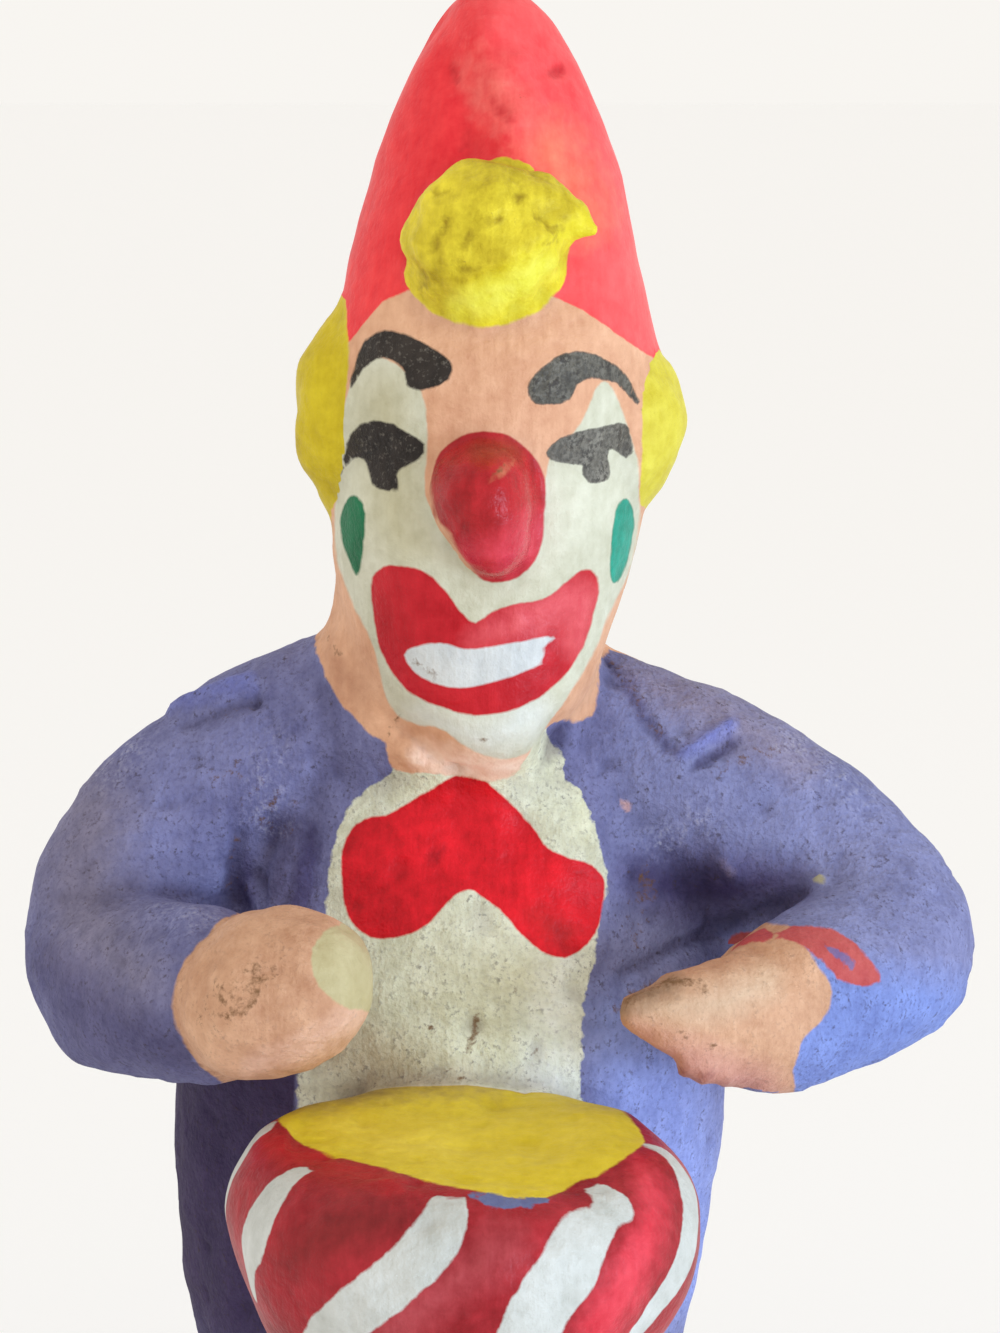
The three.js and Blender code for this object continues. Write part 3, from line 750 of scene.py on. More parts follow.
# Painted shade: the upper part of the lump darker and duller.
toned("hair", np.where(tuft_depth > -0.5, outline(spot, dull_edge), nowhere), (172, 148, 10),
      (246, 226, 60), 0.6, 2.4)
creases = ([(-6.7, 32.8, 0.15), (-6.4, 31.7, 0.25)],
           [(-5.7, 34.4, 0.1), (-4.9, 36.1, 0.3), (-4.6, 37.3, 0.1)], [(-3, 35.1, 0.2), (-2.4, 36.1, 0.25)],
           [(-1.2, 36.9, 0.1), (0, 37.3, 0.2)],
           [(2.9, 35.3, 0.05), (4.4, 35.6, 0.1), (5.2, 36.5, 0.1), (3.8, 36.6, 0.05)],
           [(2.9, 37.9, 0.1), (3.4, 37.3, 0.25), (4, 36.5, 0.1)],
           [(-3.6, 33.8, 0.1), (-2.8, 33, 0.2), (-1.6, 33.2, 0.1)], [(-1.8, 40, 0.1), (-0.9, 41, 0.2)],
           [(-5.4, 39.4, 0.1), (-4.2, 39.9, 0.15)], [(1.6, 38.9, 0.2), (2.4, 39.6, 0.1)])
crease_depth = strokes(spot, creases)
toned("hair", np.where(tuft_depth > -0.5, crease_depth, nowhere), (134, 110, 8), (188, 162, 28), 0.3, 1.4)
# A painted highlight on the lower lobe of the lump.
stroke_tones("hair",
             ([(-3.5, 30, 0.8), (1, 31.2, 1.4), (3.6, 33.4, 1)], (224, 216, 50), (244, 240, 104), 0.9))

# The nose: a glossy dark red over the ball, its edge rounded below and straight at the sides.
nose_edge = [(-2.6, 19.2), (-1.1, 19.4), (0.5, 19.1), (1.7, 18.3), (2.7, 17.3), (3.4, 16), (3.5, 14.2),
             (3.3, 12.4), (3.2, 10.8), (2.6, 8.9), (1.3, 7.6), (-0.3, 7.3), (-1.4, 7.6), (-2.3, 8.6),
             (-3.2, 9.9), (-4, 11.4), (-4.8, 12.7), (-5, 14.6), (-5, 16.1), (-4.8, 17.5), (-3.8, 18.5)]
nose_depth = np.minimum(outline(spot, nose_edge) + 0.1, in_roll(points, nose) + 3)
painted("nose", nose_depth, np.linalg.norm(points - nose_middle, axis=1) < 9, (150, 18, 24),
        (204, 42, 50), 0.28, 0.2, 0.35)
# Brown wear on top and a worn tan scratch; the third stroke is painted light, lighter and pinker low down.
stroke_tones(
    "nose",
    ([(-1.6, 17.6, 0.6), (0.8, 17.8, 0.6)], (130, 44, 30), (176, 72, 52), 0.9),
    ([(-0.9, 15.4, 0.1), (0.3, 16.3, 0.2), (0.8, 16.8, 0.1)], (176, 96, 66), (216, 140, 104), 0.25),
    ([(-2, 9.6, 0.6), (0.6, 9.2, 1.2), (2.6, 11.6, 0.8)], (200, 44, 60), (232, 84, 102), 1.6),
)

# The hands: flesh paint over the fists, with one cream dab on the mitten and smears of red and blue
# from the brush at the other wrist.
right_hand_edge = [(-22.6, -21.4), (-20.7, -20.7), (-17.5, -20.4), (-14.6, -20.9), (-12.1, -22), (-9.7, -24),
                   (-9.4, -26.6), (-10, -29.5), (-12.9, -32.5), (-16.2, -34.5), (-19.2, -35.4), (-22.1, -35),
                   (-25, -33), (-26.6, -31), (-27.1, -28.6), (-26.8, -26.5), (-25.3, -24)]
left_hand_edge = [(7, -31), (7.5, -27), (11.7, -24.5), (16.7, -22.3), (20.4, -20.6), (21.8, -21.5),
                  (24.2, -22), (25.3, -23.6), (26.8, -25.5), (27.7, -26.8), (27.4, -29), (26, -30.5),
                  (25.2, -31.3), (24.6, -33.5), (23.8, -37.1), (16.7, -38.4), (9, -35.5)]
hand_skin = np.maximum.reduce([outline(spot, right_hand_edge), in_ball(points, *right_hand) + 0.3,
                               outline(spot, left_hand_edge)])
hands = painted("hands", hand_skin, on_arm & (y < body_back - 15), (186, 136, 104),
                (224, 178, 144), 0.6, 0.45, 0.7)
# A painted highlight along the lower edge of the right hand, a pinker tone low on the left hand, and a
# painted highlight along the ridge of the left hand.
stroke_tones(
    "hands",
    ([(-20.5, -33, 0.4), (-15.5, -31.4, 1), (-12.2, -29.2, 0.8)], (220, 176, 152), (250, 212, 190), 1),
    ([(9.5, -29.8, 0.6), (15, -32.6, 1.4), (21.5, -35.5, 1.8)], (190, 132, 118), (218, 162, 146), 1.6),
    ([(12, -28.4, 0.4), (17.5, -28.2, 1.2), (22, -26.5, 1)], (198, 164, 134), (224, 194, 164), 1.4),
)
nubs = [(15.6, -33.2, 0.35), (17.2, -33.8, 0.4), (18.8, -34.3, 0.3)]
toned("hands", strokes(spot, [[nub, nub] for nub in nubs]), (156, 98, 88), (192, 130, 118), 0.3)
stroke_tones("hands",
             ([(10.2, -28.6, 0.6), (11.8, -27.6, 0.8), (14.5, -26.8, 0.6)], (138, 108, 84),
              (176, 144, 116), 0.8, 1.5))
dab_edge = [(-13.4, -21.6), (-14.8, -22.2), (-15.6, -23.6), (-15.6, -25.3), (-14.8, -26.8), (-13.5, -28.1),
            (-11.8, -28.6), (-9.4, -28.4), (-8.6, -25.7), (-9.2, -22.2), (-12.1, -21)]
painted("dab", outline(spot, dab_edge), on_arm, (180, 168, 124), (204, 194, 152), 0.5, 0.5, 0.4)
cuff_marks = ([(18.7, -23.4, 0.4), (20.4, -23, 0.7), (22.3, -22.7, 0.6)],
              [(23.8, -22.6, 0.5), (26, -22.9, 1), (28.2, -23.9, 1.5), (29.4, -25.1, 1.4), (31.2, -26, 0.5)])
at_wrist = on_arm & (y < body_back) & (toward_front > 0.3)
painted("cuff", strokes(spot, cuff_marks), at_wrist, (176, 66, 68), (200, 96, 92), 0.55, 0.7, 0.6)
painted("cuff_blue", stroke(spot, [(27, -23.4, 0.1), (28.4, -24.4, 0.45), (29.3, -25.2, 0.3)]), at_wrist,
        (112, 92, 142), (140, 112, 150), 0.6, 1.4, 0.6)
painted("spot", stroke(spot, [(26.5, -17.8, 0.4), (26.9, -17.9, 0.4)]), at_wrist, (150, 144, 118),
        (196, 190, 160), 0.6, 0.3, 0.5)

# The drum's paint: red sides, white stripes that slant down round them, each one brush stroke from
# rim to foot, and a yellow skin that ends in a wavy line short of the front edge.
on_drum = (drum_depth > -0.9) & ~on_arm
on_drum &= (from_drum_axis < drum_rim_width / 2) | (y < drum_y + 13)
back_edge = np.minimum(drum_y + 12.6 - y, (drum_top + 0.5 - z) * 1.5)
painted("drum", np.minimum(drum_depth + 1.2, back_edge), on_drum, (130, 10, 20),
        (182, 42, 52), 0.42, 0.3, 0.35)
# Painted shade darkens the red low on the figure's right; painted light brightens the drum's left side.
stroke_tones(
    "drum",
    ([(-17.5, -49.5, 1), (-13, -46.8, 2.2), (-8.5, -46.2, 1)], (104, 16, 20), (146, 38, 40), 1.6, 2),
    ([(-19.5, -40.2, 0.5), (-15, -41.3, 1.2), (-9, -43.4, 0.8)], (158, 16, 26), (196, 36, 44), 0.8),
    ([(-9, -55.5, 1.5), (-4, -51.5, 1.5), (0, -48.5, 1.5)], (156, 44, 52), (192, 84, 90), 1.8, 2),
    ([(11.6, -41.6, 0.6), (12.8, -45, 1), (11, -50, 1.4), (8, -55, 1.6)],
     (196, 24, 44), (232, 74, 88), 1, 2),
)
below = drum_top - z
angle = np.degrees(np.arctan2(x - drum_x, drum_y - y))
drum_degree = math.radians(drum_width / 2)
unrolled = np.stack([angle * drum_degree, below], -1)
stripes = ([(-103, 0.9, 1.2), (-97, 2.4, 1.6), (-90, 4.4, 2), (-91, 7.2, 1.5), (-96, 10, 0.8)],
           [(-58.5, 1.2, 1.5), (-58.5, 2.7, 2.3), (-59.5, 4.3, 2.4), (-62.5, 6.6, 1.7), (-64, 9.5, 0.8)],
           [(-3, 0.8, 1.6), (-7, 2.2, 1.9), (-14.5, 4.6, 1.9), (-24, 7.4, 1.9), (-34, 10, 1.6),
            (-42, 12.5, 1.2)],
           [(47.5, 1.1, 1.5), (41, 1.8, 1), (30.5, 3.2, 2), (25, 4.9, 2.5), (19.5, 6.8, 2.5), (16, 9.2, 2.4),
            (13, 12, 1.6)],
           [(89, 1, 0.8), (83, 2.2, 1.3), (76, 4, 1.6), (69, 6.2, 1.6), (61, 8.5, 1.5), (53, 10.8, 1.2),
            (46, 13, 0.8)],
           *([(start, 1, 1.2), (start - 8, 5, 1.8), (start - 20, 11, 1.4)]
             for start in (132, 165, -160, -130)))
stripe_depth = strokes(unrolled, [[(bearing * drum_degree, drop, half) for bearing, drop, half in stripe]
                                  for stripe in stripes])
over_rim = np.minimum(below - 0.1, from_drum_axis - drum_rim_width / 2 + np.where(y < drum_y, 1, -0.5))
painted("stripes", np.minimum(stripe_depth, over_rim), on_drum, (182, 184, 176),
        (214, 216, 211), 0.45, 0.5, 0.5)
skin_edge = [(-18.2, -38.6), (-16.8, -37), (-14.5, -36.1), (-12.2, -35.5), (-7.6, -35.1), (-2, -34.9),
             (2.9, -35.3), (7.6, -36), (10.8, -37.7), (12.1, -39.3), (11.2, -40.4), (8.4, -42), (6.3, -42.5),
             (4, -44), (1.5, -44.4), (-2.1, -43.9), (-5.9, -43.3), (-8.4, -42.5), (-11.2, -41.6),
             (-13.9, -40.8), (-16.2, -39.9)]
drum_skin = np.minimum.reduce([outline(spot, skin_edge), z - (drum_top - 1.3), back_edge])
painted("drumskin", drum_skin, on_drum, (210, 186, 28), (238, 216, 60), 0.45, 0.4, 0.25)
# The skin lighter across the front, and at its back edge against the belly a darker olive band, painted shade
# and dirt together.
stroke_tones(
    "drumskin",
    ([(-14, -38.2, 0.6), (-9, -39, 1.6), (-4, -40, 0.8)], (222, 198, 44), (250, 230, 84), 1.6),
    ([(-16.5, -37.2, 0.4), (-12.2, -35.9, 0.6), (-6, -35.3, 0.5), (0, -35.2, 0.3)], (156, 132, 60),
     (194, 168, 88), 0.7, 1.5),
)
smear_line = [(-2.3, -44.3, 0.25), (-0.3, -44.7, 0.55), (2, -44.7, 0.5), (3.9, -44.4, 0.2)]
painted("smear", stroke(spot, smear_line), on_drum, (84, 92, 140), (110, 120, 160), 0.5, 1.2, 0.4)

# The marks of the modelling, all pushed in or out along the skin: broad unevenness, finger dents, the
# folds at the elbows, the ridges on the shoulders, and dabs of a tool in the hair.


def touched(line, outer, inner):
    """0 further than outer outside a brush stroke, 1 deeper than inner inside it, and an S between."""
    return ease(stroke(spot, line), -outer, inner)


def marks(*rows):
    """Heights of folds and ridges, added up: a line, the height inside it, and its soft edge."""
    return sum(height * touched(line, soft, soft) for line, height, soft in rows)


def swells(*rows):
    """Soft swellings and hollows, added up: bell curves about places in the front view, so wide and tall."""
    return sum(height * np.exp(-((spot_x - across) / wide) ** 2 - ((spot_y - above) / tall) ** 2)
               for across, above, wide, tall, height in rows)


blue = ~on_head & ~on_drum & (yellow < 0)
relief = 0.34 * waves(points, 22, 1) + 0.16 * waves(points, 8, 2) * np.where(on_head, 0.5, 1)
relief += 0.07 * waves(points, 3.2, 3) * np.where(on_head | on_drum, 0.4, 1)
drum_swell = 0.75 * np.exp(-((angle + 90) / 30) ** 2 - ((below - 2.5) / 6) ** 2)
relief += np.where(on_drum & (from_drum_axis > drum_rim_width / 2 - 1), drum_swell, 0)
coat_marks = marks(
    (right_ridge, 1, 0.7),
    ([(-26.4, -5, 0.2), (-22.6, -3.4, 0.4), (-20.4, -2.9, 0.2)], -0.7, 0.7),
    ([(-21, -1.6, 0.3), (-18.8, -4.6, 0.5), (-18, -8, 0.3)], -0.5, 1),
    (left_ridge, 1, 0.5),
    ([(15.8, -8.6, 0.2), (18.2, -7.3, 0.3), (20, -6.2, 0.2)], -0.8, 0.5),
    ([(9, 1.4, 0.2), (11.5, -2.8, 0.4), (13.5, -6.3, 0.3), (14.6, -7, 0.2)], -0.55, 1),
    ([(18.6, -16.2, 0.6), (20, -17.8, 0.3)], 0.9, 0.7),
    ([(26.5, -17.8, 0.3), (26.9, -17.9, 0.3)], 0.7, 0.4),
    ([(-21.6, -14, 0.3), (-22, -17, 0.5), (-22.2, -19.5, 0.4)], -0.9, 0.7),
    ([(-20.5, -17.2, 0.3), (-19.9, -19.2, 0.3)], -0.6, 0.5),
    ([(-28, -18.4, 0.2), (-25, -19, 0.4), (-22.7, -19.8, 0.4), (-19.9, -20.7, 0.2)], -0.5, 0.9),
    ([(-29.5, -20.4, 0.4), (-25.6, -21, 0.6), (-22.9, -21.9, 0.3)], 0.5, 0.9),
    ([(10.5, -25.6, 0.3), (16, -23, 0.6), (21, -20.8, 0.6), (25.4, -18.6, 0.3)], -0.8, 0.8),
    ([(-19, -12.6, 0.1), (-19.3, -14.8, 0.4), (-20, -18, 0.3)], -0.5, 0.6),
    ([(-17.4, -15.5, 0.1), (-17.5, -17.4, 0.2), (-18, -19.6, 0.2)], -0.4, 0.5),
)
coat_marks += swells((11.5, -20, 3.2, 5, -1.3), (-15.5, -14, 2, 5.5, -0.6), (-34.6, -32.6, 3.2, 2.4, 0.8))
relief += np.where(blue & (front > -6), coat_marks * toward_front, 0)
relief += np.where(~on_head & (front > 0),
                   swells((-6.6, -6.6, 2.6, 1.6, 1.8), (-1.5, -8.2, 3.8, 1.1, 0.7)), 0)
face_form = swells((-9, 11, 4, 4, 0.5), (7.6, 11, 4, 4, 0.5), (-1, -6, 5, 2.5, 0.5),
                   (-9.2, 17.5, 3.5, 2, -0.35), (7.5, 17.5, 3.5, 2, -0.35), (-1, 3.5, 5, 2, -0.35),
                   (-1.5, 23, 9, 4, 0.35), (5.5, -6.5, 2.5, 2.5, -1.2))
relief += np.where(face, face_form, 0)
off_crest = spot_x - crest
hat_form = np.exp(-(off_crest / 2.6) ** 2) - 0.7 * np.exp(-((off_crest + 3.2) / 2) ** 2)
hat_form *= ease(spot_y, 38, 44) * (1 - ease(spot_y, 52, 58))
hat_form += 0.34 * waves(points, 2.4, 11) * swells((1.2, 46, 4, 5, 1))
hat_form += swells((4.8, 49.6, 0.8, 0.6, -0.6), (-4, 49.7, 0.7, 1, -0.4), (-0.1, 46.1, 0.6, 0.8, -0.6),
                   (1.6, 50, 0.9, 1.2, 0.4))
relief += np.where(face & (z > brim_level), hat_form, 0)
tuft_form = marks(([(6.4, 37.8, 0.4), (3, 35.6, 0.7), (-0.4, 33.6, 0.4)], 0.7, 1.2),
                  ([(4.8, 34.6, 0.4), (2, 32.4, 0.4)], -0.35, 0.8))
tuft_form += 0.2 * waves(points, 3.6, 4) + 0.18 * waves(points, 2.2, 5) - 0.3 * ease(crease_depth, -0.4, 0.3)
relief += np.where(yellow > -0.2, np.where(tuft_depth > -0.5, tuft_form, 0.14 * waves(points, 5, 4)), 0)
hand_form = 0.12 * waves(points, 5, 6)
hand_form += swells((16.5, -26.5, 6, 1, 0.35), (15.6, -33.2, 0.8, 0.7, 0.9), (17.2, -33.8, 0.7, 0.7, 1),
                    (18.8, -34.3, 0.7, 0.6, 0.8))
relief += np.where(hands > 0, hand_form, 0)
shirt_pits = -0.32 * ease(waves(points, 3, 7), 0.75, 1.4) - 0.22 * ease(waves(points, 5.5, 8), 0.5, 1.3)
shirt_pits += swells((-2, -30, 0.8, 0.9, -0.6), (3.1, -31.7, 0.7, 1.1, -0.6), (0.6, -22.6, 0.5, 1.8, 0.3))
relief += np.where(shirt > 0, shirt_pits, 0)
coat_pits = -0.3 * ease(waves(points, 2.6, 9), 0.9, 1.4) + 0.12 * ease(waves(points, 3, 10), 0.5, 1.2)
relief += np.where(blue & (shirt < 0), coat_pits, 0)
relief *= ease(z, 0.3, 2)
points = rubbed_smooth(points + normals * relief[:, None], rounds=1, pull=0.3)
points[:, 2] = points[:, 2].clip(0)
write(points)

# The wear and the painted shade: the hollows are painted darker as shade, dark grease sits where fingers
# held it and in creases of the coat, and the raised places are rubbed paler. The hollow of a point is how
# far the skin around it stands above it. Painted shade also darkens the coat low down at the right, under
# that elbow and in both armpits.
hollow = ((rubbed_smooth(points, rounds=14, pull=0.7) - points) * read(skin, "normal")).sum(axis=1)
x, y, z = points.T
dirt = np.zeros(len(points))
dirt_marks = (([(-24.2, -28.6, 1), (-22, -27.4, 1.8), (-19.4, -25, 1.4)], 0.5, 1.4),
              ([(-22.8, -29.6, 0.2), (-20.8, -28.4, 0.3)], 0.8, 0.5),
              ([(-20, -26.4, 0.2), (-18.6, -24.8, 0.2)], 0.7, 0.5),
              ([(10, -28.4, 0.4), (11.8, -27.2, 0.6), (13.7, -26.4, 0.5), (17, -27.1, 0.2)], 0.8, 0.8),
              ([(16, -25.3, 0.15), (16.3, -25.1, 0.15)], 1, 0.3),
              ([(12, -29, 0.2), (15.5, -30.6, 0.3), (19, -32.4, 0.2)], 0.6, 0.5),
              ([(-9, -5.4, 0.2), (-8.4, -4, 0.2)], 1, 0.4), ([(-15, 3.6, 0.2), (-13.2, 0.6, 0.3)], 0.6, 0.6),
              ([(-7.2, 0.4, 0.3), (-5.4, -0.8, 0.5)], 0.65, 0.6),
              ([(-8, -2.8, 0.3), (-4.4, -3.4, 0.3)], 0.55, 0.7),
              ([(-2, -5.7, 0.1), (-0.8, -6, 0.1)], 0.9, 0.3),
              ([(-5.8, -30.2, 0.15), (-5.5, -30.4, 0.15)], 1, 0.3),
              ([(-4, -33.6, 0.1), (-3.4, -34.6, 0.15)], 1, 0.3),
              ([(-1.7, -28.6, 0.2), (-2, -29.9, 0.35), (-2.5, -31.4, 0.25), (-2.9, -32.4, 0.1)], 1, 0.3),
              ([(3, -30.6, 0.2), (3.3, -31.4, 0.15), (2.9, -32.6, 0.2)], 1, 0.3),
              ([(-2.6, -25.6, 0.1), (-2.4, -27, 0.15)], 0.8, 0.3),
              ([(1.2, -26, 0.1), (1.5, -27.2, 0.1)], 0.8, 0.3),
              ([(9.6, 0.9, 0.4), (11.8, -3.4, 0.7), (14.2, -7.2, 0.5)], 0.45, 1),
              ([(18.2, -8.6, 0.4), (21, -7.4, 0.7), (23, -7, 0.4)], 0.55, 1),
              ([(12, -15.6, 0.6), (12.6, -19.5, 1.3), (11.2, -24, 0.8)], 0.45, 1.2),
              ([(-21.8, -14.5, 0.4), (-22.2, -18.5, 0.5)], 0.5, 0.8),
              ([(-24.2, -4.4, 0.4), (-21.4, -3.2, 0.5)], 0.5, 0.6),
              ([(-22.5, -9, 2), (-18, -13, 2.5)], 0.3, 1.5),
              ([(-3, 39, 1.5), (-4.5, 34, 1.5), (0.5, 37.5, 1.8)], 0.22, 1),
              ([(0.4, 43.6, 0.2), (1.2, 46.8, 0.5), (-0.6, 49.4, 0.3)], 0.3, 0.8),
              ([(-0.9, 15.6, 0.2), (0.2, 16.4, 0.25)], 0.8, 0.4),
              ([(-1.6, 17.6, 0.5), (0.6, 17.9, 0.6)], 0.35, 0.8))
for line, strength, soft in dirt_marks:
    dirt = np.maximum(dirt, strength * touched(line, soft, 0.8 * soft))
dirt *= toward_front
# Painted shade on the coat: low down at the figure's right, under that elbow and in both armpits.
to_its_right = axis_x(z) - x
shade_top, shade_foot = 84, 54
shade = ease(to_its_right, 5, 13) * ease(shade_top - z, 0, 7) * (1 - ease(shade_foot - z, 0, 16))
shade *= ease(front, -8, 4) * (~on_arm & ~on_drum & (shirt < 0))
tucked = np.maximum.reduce([
    0.55 * touched([(-38, -25, 1.5), (-33, -30, 2.4), (-25, -33, 0.8)], 3, 1.5),
    0.52 * touched([(12.5, -17.2, 0.6), (17.5, -18.4, 1.8), (23.5, -18, 1)], 2.6, 1.4),
    0.6 * touched([(-17.5, -13.5, 0.8), (-18.6, -19, 1)], 1.8, 1.2)])
shade = np.maximum(shade, np.where(blue & (shirt < 0) & (hands < 0), tucked, 0))
rubbed = np.maximum.reduce([touched(line, 2, 1.5) for line in (
    [(-19, -6.5, 0.8), (-19.6, -12.5, 1.4)], [(-33, -9, 1), (-30, -6, 1)],
    [(13.5, -14.5, 0.8), (17, -12.5, 0.8)],
    [(24, -6, 1), (30, -11, 1)], [(-27.5, -20.5, 0.8), (-22.5, -22, 0.6)])])
roughness, tooth = np.full(len(points), coat_roughness), np.ones(len(points))
edge_width = 0.6
for _, depth, *_, rough_here, tooth_here in paints:
    if rough_here is not None:
        share = (depth / edge_width + 0.5).clip(0, 1)
        roughness += (rough_here - roughness) * share
        tooth += (tooth_here - tooth) * share
kept_on_skin = {name: depth for name, depth, *_ in paints}
kept_on_skin.update(hollow=hollow, dirt=dirt, shade=shade, rubbed=rubbed, roughness=roughness, tooth=tooth)
for name, values in kept_on_skin.items():
    values = values.clip(-3, 3).astype(np.float32)
    skin.attributes.new(name, "FLOAT", "POINT").data.foreach_set("value", values)
skin.polygons.foreach_set("use_smooth", np.ones(len(skin.polygons), bool))
figure = bpy.data.objects.new("painted_clown", skin)
bpy.context.collection.objects.link(figure)

# The finish: poster paints brushed on the fired clay, matt and grainy on the coat, smoother and a
# little shiny on hat, nose and mouth. Each paint covers the ones before it up to a ragged edge.


def screen(red, green, blue):
    """A colour given as 0 to 255 on the screen, as linear light for the shader."""
    share = np.array([red, green, blue]) / 255
    return (*np.where(share <= 0.04045, share / 12.92, ((share + 0.055) / 1.055) ** 2.4), 1)


class Wire:
    """A shader socket that sums can be written with: each operator adds one Math node."""

    tree = None

    def __init__(self, socket):
        """Keeps the socket of a node that was added."""
        self.socket = socket

    @classmethod
    def node(cls, kind, settings=None, sockets=None, output=0):
        """Adds a node of this type, with its settings first and then its sockets' values or links."""
        node = cls.tree.nodes.new(kind)
        for name, value in (settings or {}).items():
            setattr(node, name, value)
        for name, value in (sockets or {}).items():
            if isinstance(value, Wire):
                cls.tree.links.new(value.socket, node.inputs[name])
            else:
                node.inputs[name].default_value = value
        return cls(node.outputs[output]) if node.outputs else None

    def sum(self, operation, other, clamp=False):
        """This value and another, put through one Math node."""
        return Wire.node("ShaderNodeMath", {"operation": operation, "use_clamp": clamp}, {0: self, 1: other})

    def __add__(self, other):
        """This plus the other."""
        return self.sum("ADD", other)

    def __mul__(self, other):
        """This times the other."""
        return self.sum("MULTIPLY", other)

    def __sub__(self, other):
        """This less the other."""
        return self.sum("SUBTRACT", other)

    def __rsub__(self, other):
        """The other less this."""
        return Wire.node("ShaderNodeMath", {"operation": "SUBTRACT"}, {0: other, 1: self})

    __radd__ = __add__
    __rmul__ = __mul__

    def clamped(self):
        """The value kept between 0 and 1."""
        return self.sum("ADD", 0, clamp=True)


def noise(per_mm, detail, stretch=(1, 1, 1), roughness=0.55):
    """Blender's noise over the object's own millimetres, so many features to one of them."""
    spread = Wire.node("ShaderNodeVectorMath", {"operation": "MULTIPLY"},
                       {0: place, 1: tuple(per_mm / MM * share for share in stretch)})
    return Wire.node("ShaderNodeTexNoise", None,
                     {"Vector": spread, "Scale": 1, "Detail": detail, "Roughness": roughness})


def attribute(name):
    """A value kept on the skin's points."""
    return Wire.node("ShaderNodeAttribute", {"attribute_name": name}, output=2)


def mixed(below, above, share, kind="MIX"):
    """A colour between two colours, or the first one tinted by the second, by share."""
    return Wire.node("ShaderNodeMix", {"data_type": "RGBA", "blend_type": kind},
                     {0: share, 6: below, 7: above}, 2)


material = bpy.data.materials.new("painted_clay_finish")
material.use_nodes = True
Wire.tree = material.node_tree
Wire.tree.nodes.clear()
place = Wire.node("ShaderNodeTexCoord", output=3)
wobble = noise(0.9, 3) - 0.5
cloudy = noise(0.13, 3)
patchy = noise(0.8, 4, roughness=0.6)
grain = noise(2.6, 3, roughness=0.65)
brushed = noise(0.55, 2, stretch=(2.6, 1, 0.5))
tone = (cloudy * 1.5 + patchy * 1.1 + brushed * 0.6 - 1.1).clamped()
tooth_here, hollow_here = attribute("tooth"), attribute("hollow")


def covering(name, ragged, soft):
    """1 inside a coat of paint and 0 outside it: its depth, moved by the wobble, over a soft edge."""
    return (attribute(name) * (0.5 / soft) + (wobble * (ragged * 0.5 / soft) + 0.5)).clamped()


colour = mixed(screen(*coat_dark), screen(*coat_light), tone)
pale_fleck, dark_fleck = screen(134, 128, 116), screen(30, 25, 22)
shares = {}
for name, _, dark, light, ragged, soft, within, _, _ in paints:
    share = covering(name, ragged, soft)
    shares[name] = share * shares[within] if within in shares else share
    colour = mixed(colour, mixed(screen(*dark), screen(*light), tone), shares[name])
    if name.startswith("black"):
        fleck, reach = (dark_fleck, 2.5) if within else (pale_fleck, 3.3)
        dry = (grain * 6 - reach).clamped() * (patchy * 3 - 0.7).clamped() * shares[name] * 0.7
        colour = mixed(colour, fleck, dry)

dirt_here = attribute("dirt")
coarse = (tooth_here * 2.2 - 1.2).clamped()
grime = (dirt_here * 2.4 + patchy * 4 + grain * 2.6 - 4.4).clamped() * (dirt_here * 6).clamped()
speck = (grain * 8 - 4.3).clamped() * (patchy * 5 - 2.2).clamped() * coarse
scuff = (grain * -7 + 3.6).clamped() * (patchy * 4 - 1.6).clamped() * attribute("rubbed") * coarse
hollow_shade_tint, pore_tint, shade_tint = (0.50, 0.46, 0.50, 1), (0.74, 0.73, 0.78, 1), (0.25, 0.16, 0.23, 1)
chalky, sooty, greasy = screen(184, 182, 194), screen(64, 52, 50), screen(112, 78, 44)
# Painted shade: the hollows darker, and the coat where the shade attribute says; then pores, scuffs, soot and
# grime.
colour = mixed(colour, hollow_shade_tint, (hollow_here * 2.2).clamped() * tooth_here, "MULTIPLY")
colour = mixed(colour, pore_tint, (grain * 4 - 1.9).clamped() * coarse * 0.8, "MULTIPLY")
colour = mixed(colour, shade_tint, attribute("shade"), "MULTIPLY")
colour = mixed(colour, chalky, scuff * 0.5)
colour = mixed(colour, sooty, speck * 0.65)
colour = mixed(colour, greasy, grime * 0.8)
height = (patchy * 0.46 + grain * 0.12) * tooth_here + brushed * 0.07
bump = Wire.node("ShaderNodeBump", None, {"Height": height, "Distance": MM, "Strength": 1})
shader = Wire.node("ShaderNodeBsdfPrincipled", None,
                   {"Base Color": colour,
                    "Roughness": (attribute("roughness") + (grain - 0.5) * 0.25).clamped(),
                    "Normal": bump, "Specular IOR Level": 0.22})
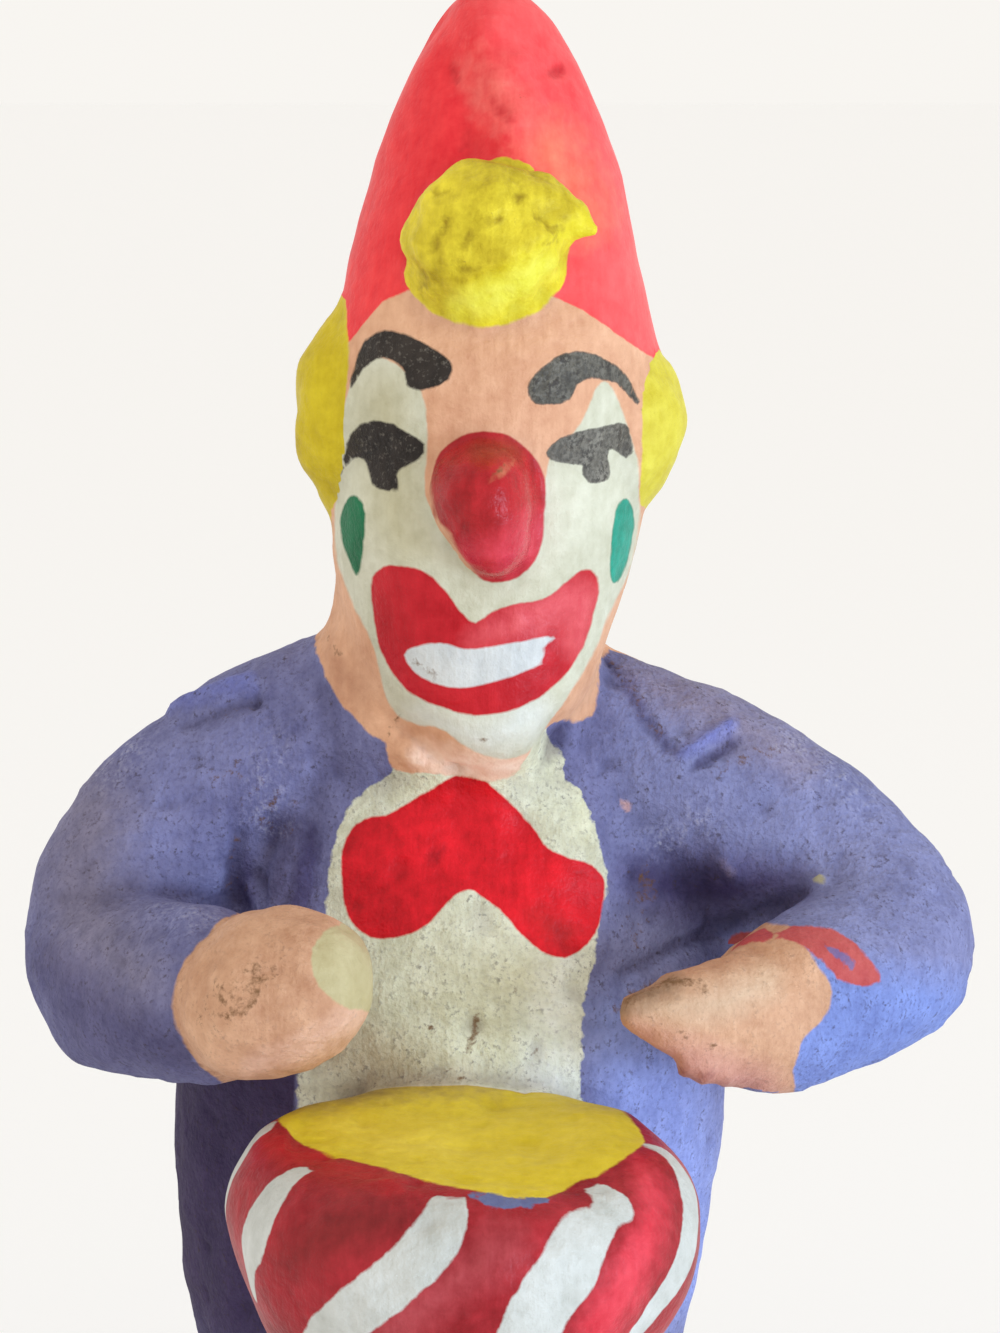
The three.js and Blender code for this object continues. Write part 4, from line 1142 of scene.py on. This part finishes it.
Wire.node("ShaderNodeOutputMaterial", None, {"Surface": shader})
figure.data.materials.append(material)
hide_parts("clown_figure")
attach(figure, "root")

# The stand for the picture: a pale floor that runs out of sight, white light from all round, and a
# low window in front of the figure at its left, which leaves its right side a little darker.
floor_reach = 6.0
floor_mesh = bpy.data.meshes.new("floor")
floor_mesh.from_pydata([(-floor_reach, -floor_reach, 0), (floor_reach, -floor_reach, 0),
                        (floor_reach, floor_reach, 0), (-floor_reach, floor_reach, 0)], [], [(0, 1, 2, 3)])
floor = bpy.data.objects.new("floor", floor_mesh)
bpy.context.collection.objects.link(floor)
floor_paint = bpy.data.materials.new("pale_floor")
floor_paint.use_nodes = True
floor_shader = floor_paint.node_tree.nodes["Principled BSDF"]
floor_shader.inputs["Base Color"].default_value = (0.985, 0.985, 0.985, 1)
floor_shader.inputs["Roughness"].default_value = 0.95
floor_mesh.materials.append(floor_paint)

world = bpy.data.worlds.new("studio")
bpy.context.scene.world = world
world.use_nodes = True
world.node_tree.nodes["Background"].inputs["Color"].default_value = (1, 0.975, 0.935, 1)
world.node_tree.nodes["Background"].inputs["Strength"].default_value = 0.94
lamp = bpy.data.lights.new("window", "AREA")
lamp.size, lamp.energy, lamp.color = 0.26, 2.3, (0.70, 0.92, 1.22)
window = bpy.data.objects.new("window", lamp)
window.location = (0.48, -0.36, 0.05)
figure_middle = Vector((0.005, -0.005, 0.1))
window.rotation_euler = (figure_middle - window.location).to_track_quat("-Z", "Y").to_euler()
bpy.context.collection.objects.link(window)

# The camera stands where the photograph was taken from: a little above, close in front.
camera = bpy.data.cameras.new("camera")
film_width, focal_pixels, picture_pixels = 36, 3360, 1333
camera.sensor_width = film_width
camera.lens = film_width * focal_pixels / picture_pixels
camera.clip_start = 0.01
eye = bpy.data.objects.new("camera", camera)
eye.location = view_eye * MM
eye.rotation_euler = Vector(view_ahead).to_track_quat("-Z", "Y").to_euler()
bpy.context.collection.objects.link(eye)
bpy.context.scene.camera = eye
bpy.context.scene.view_settings.view_transform = "Standard"
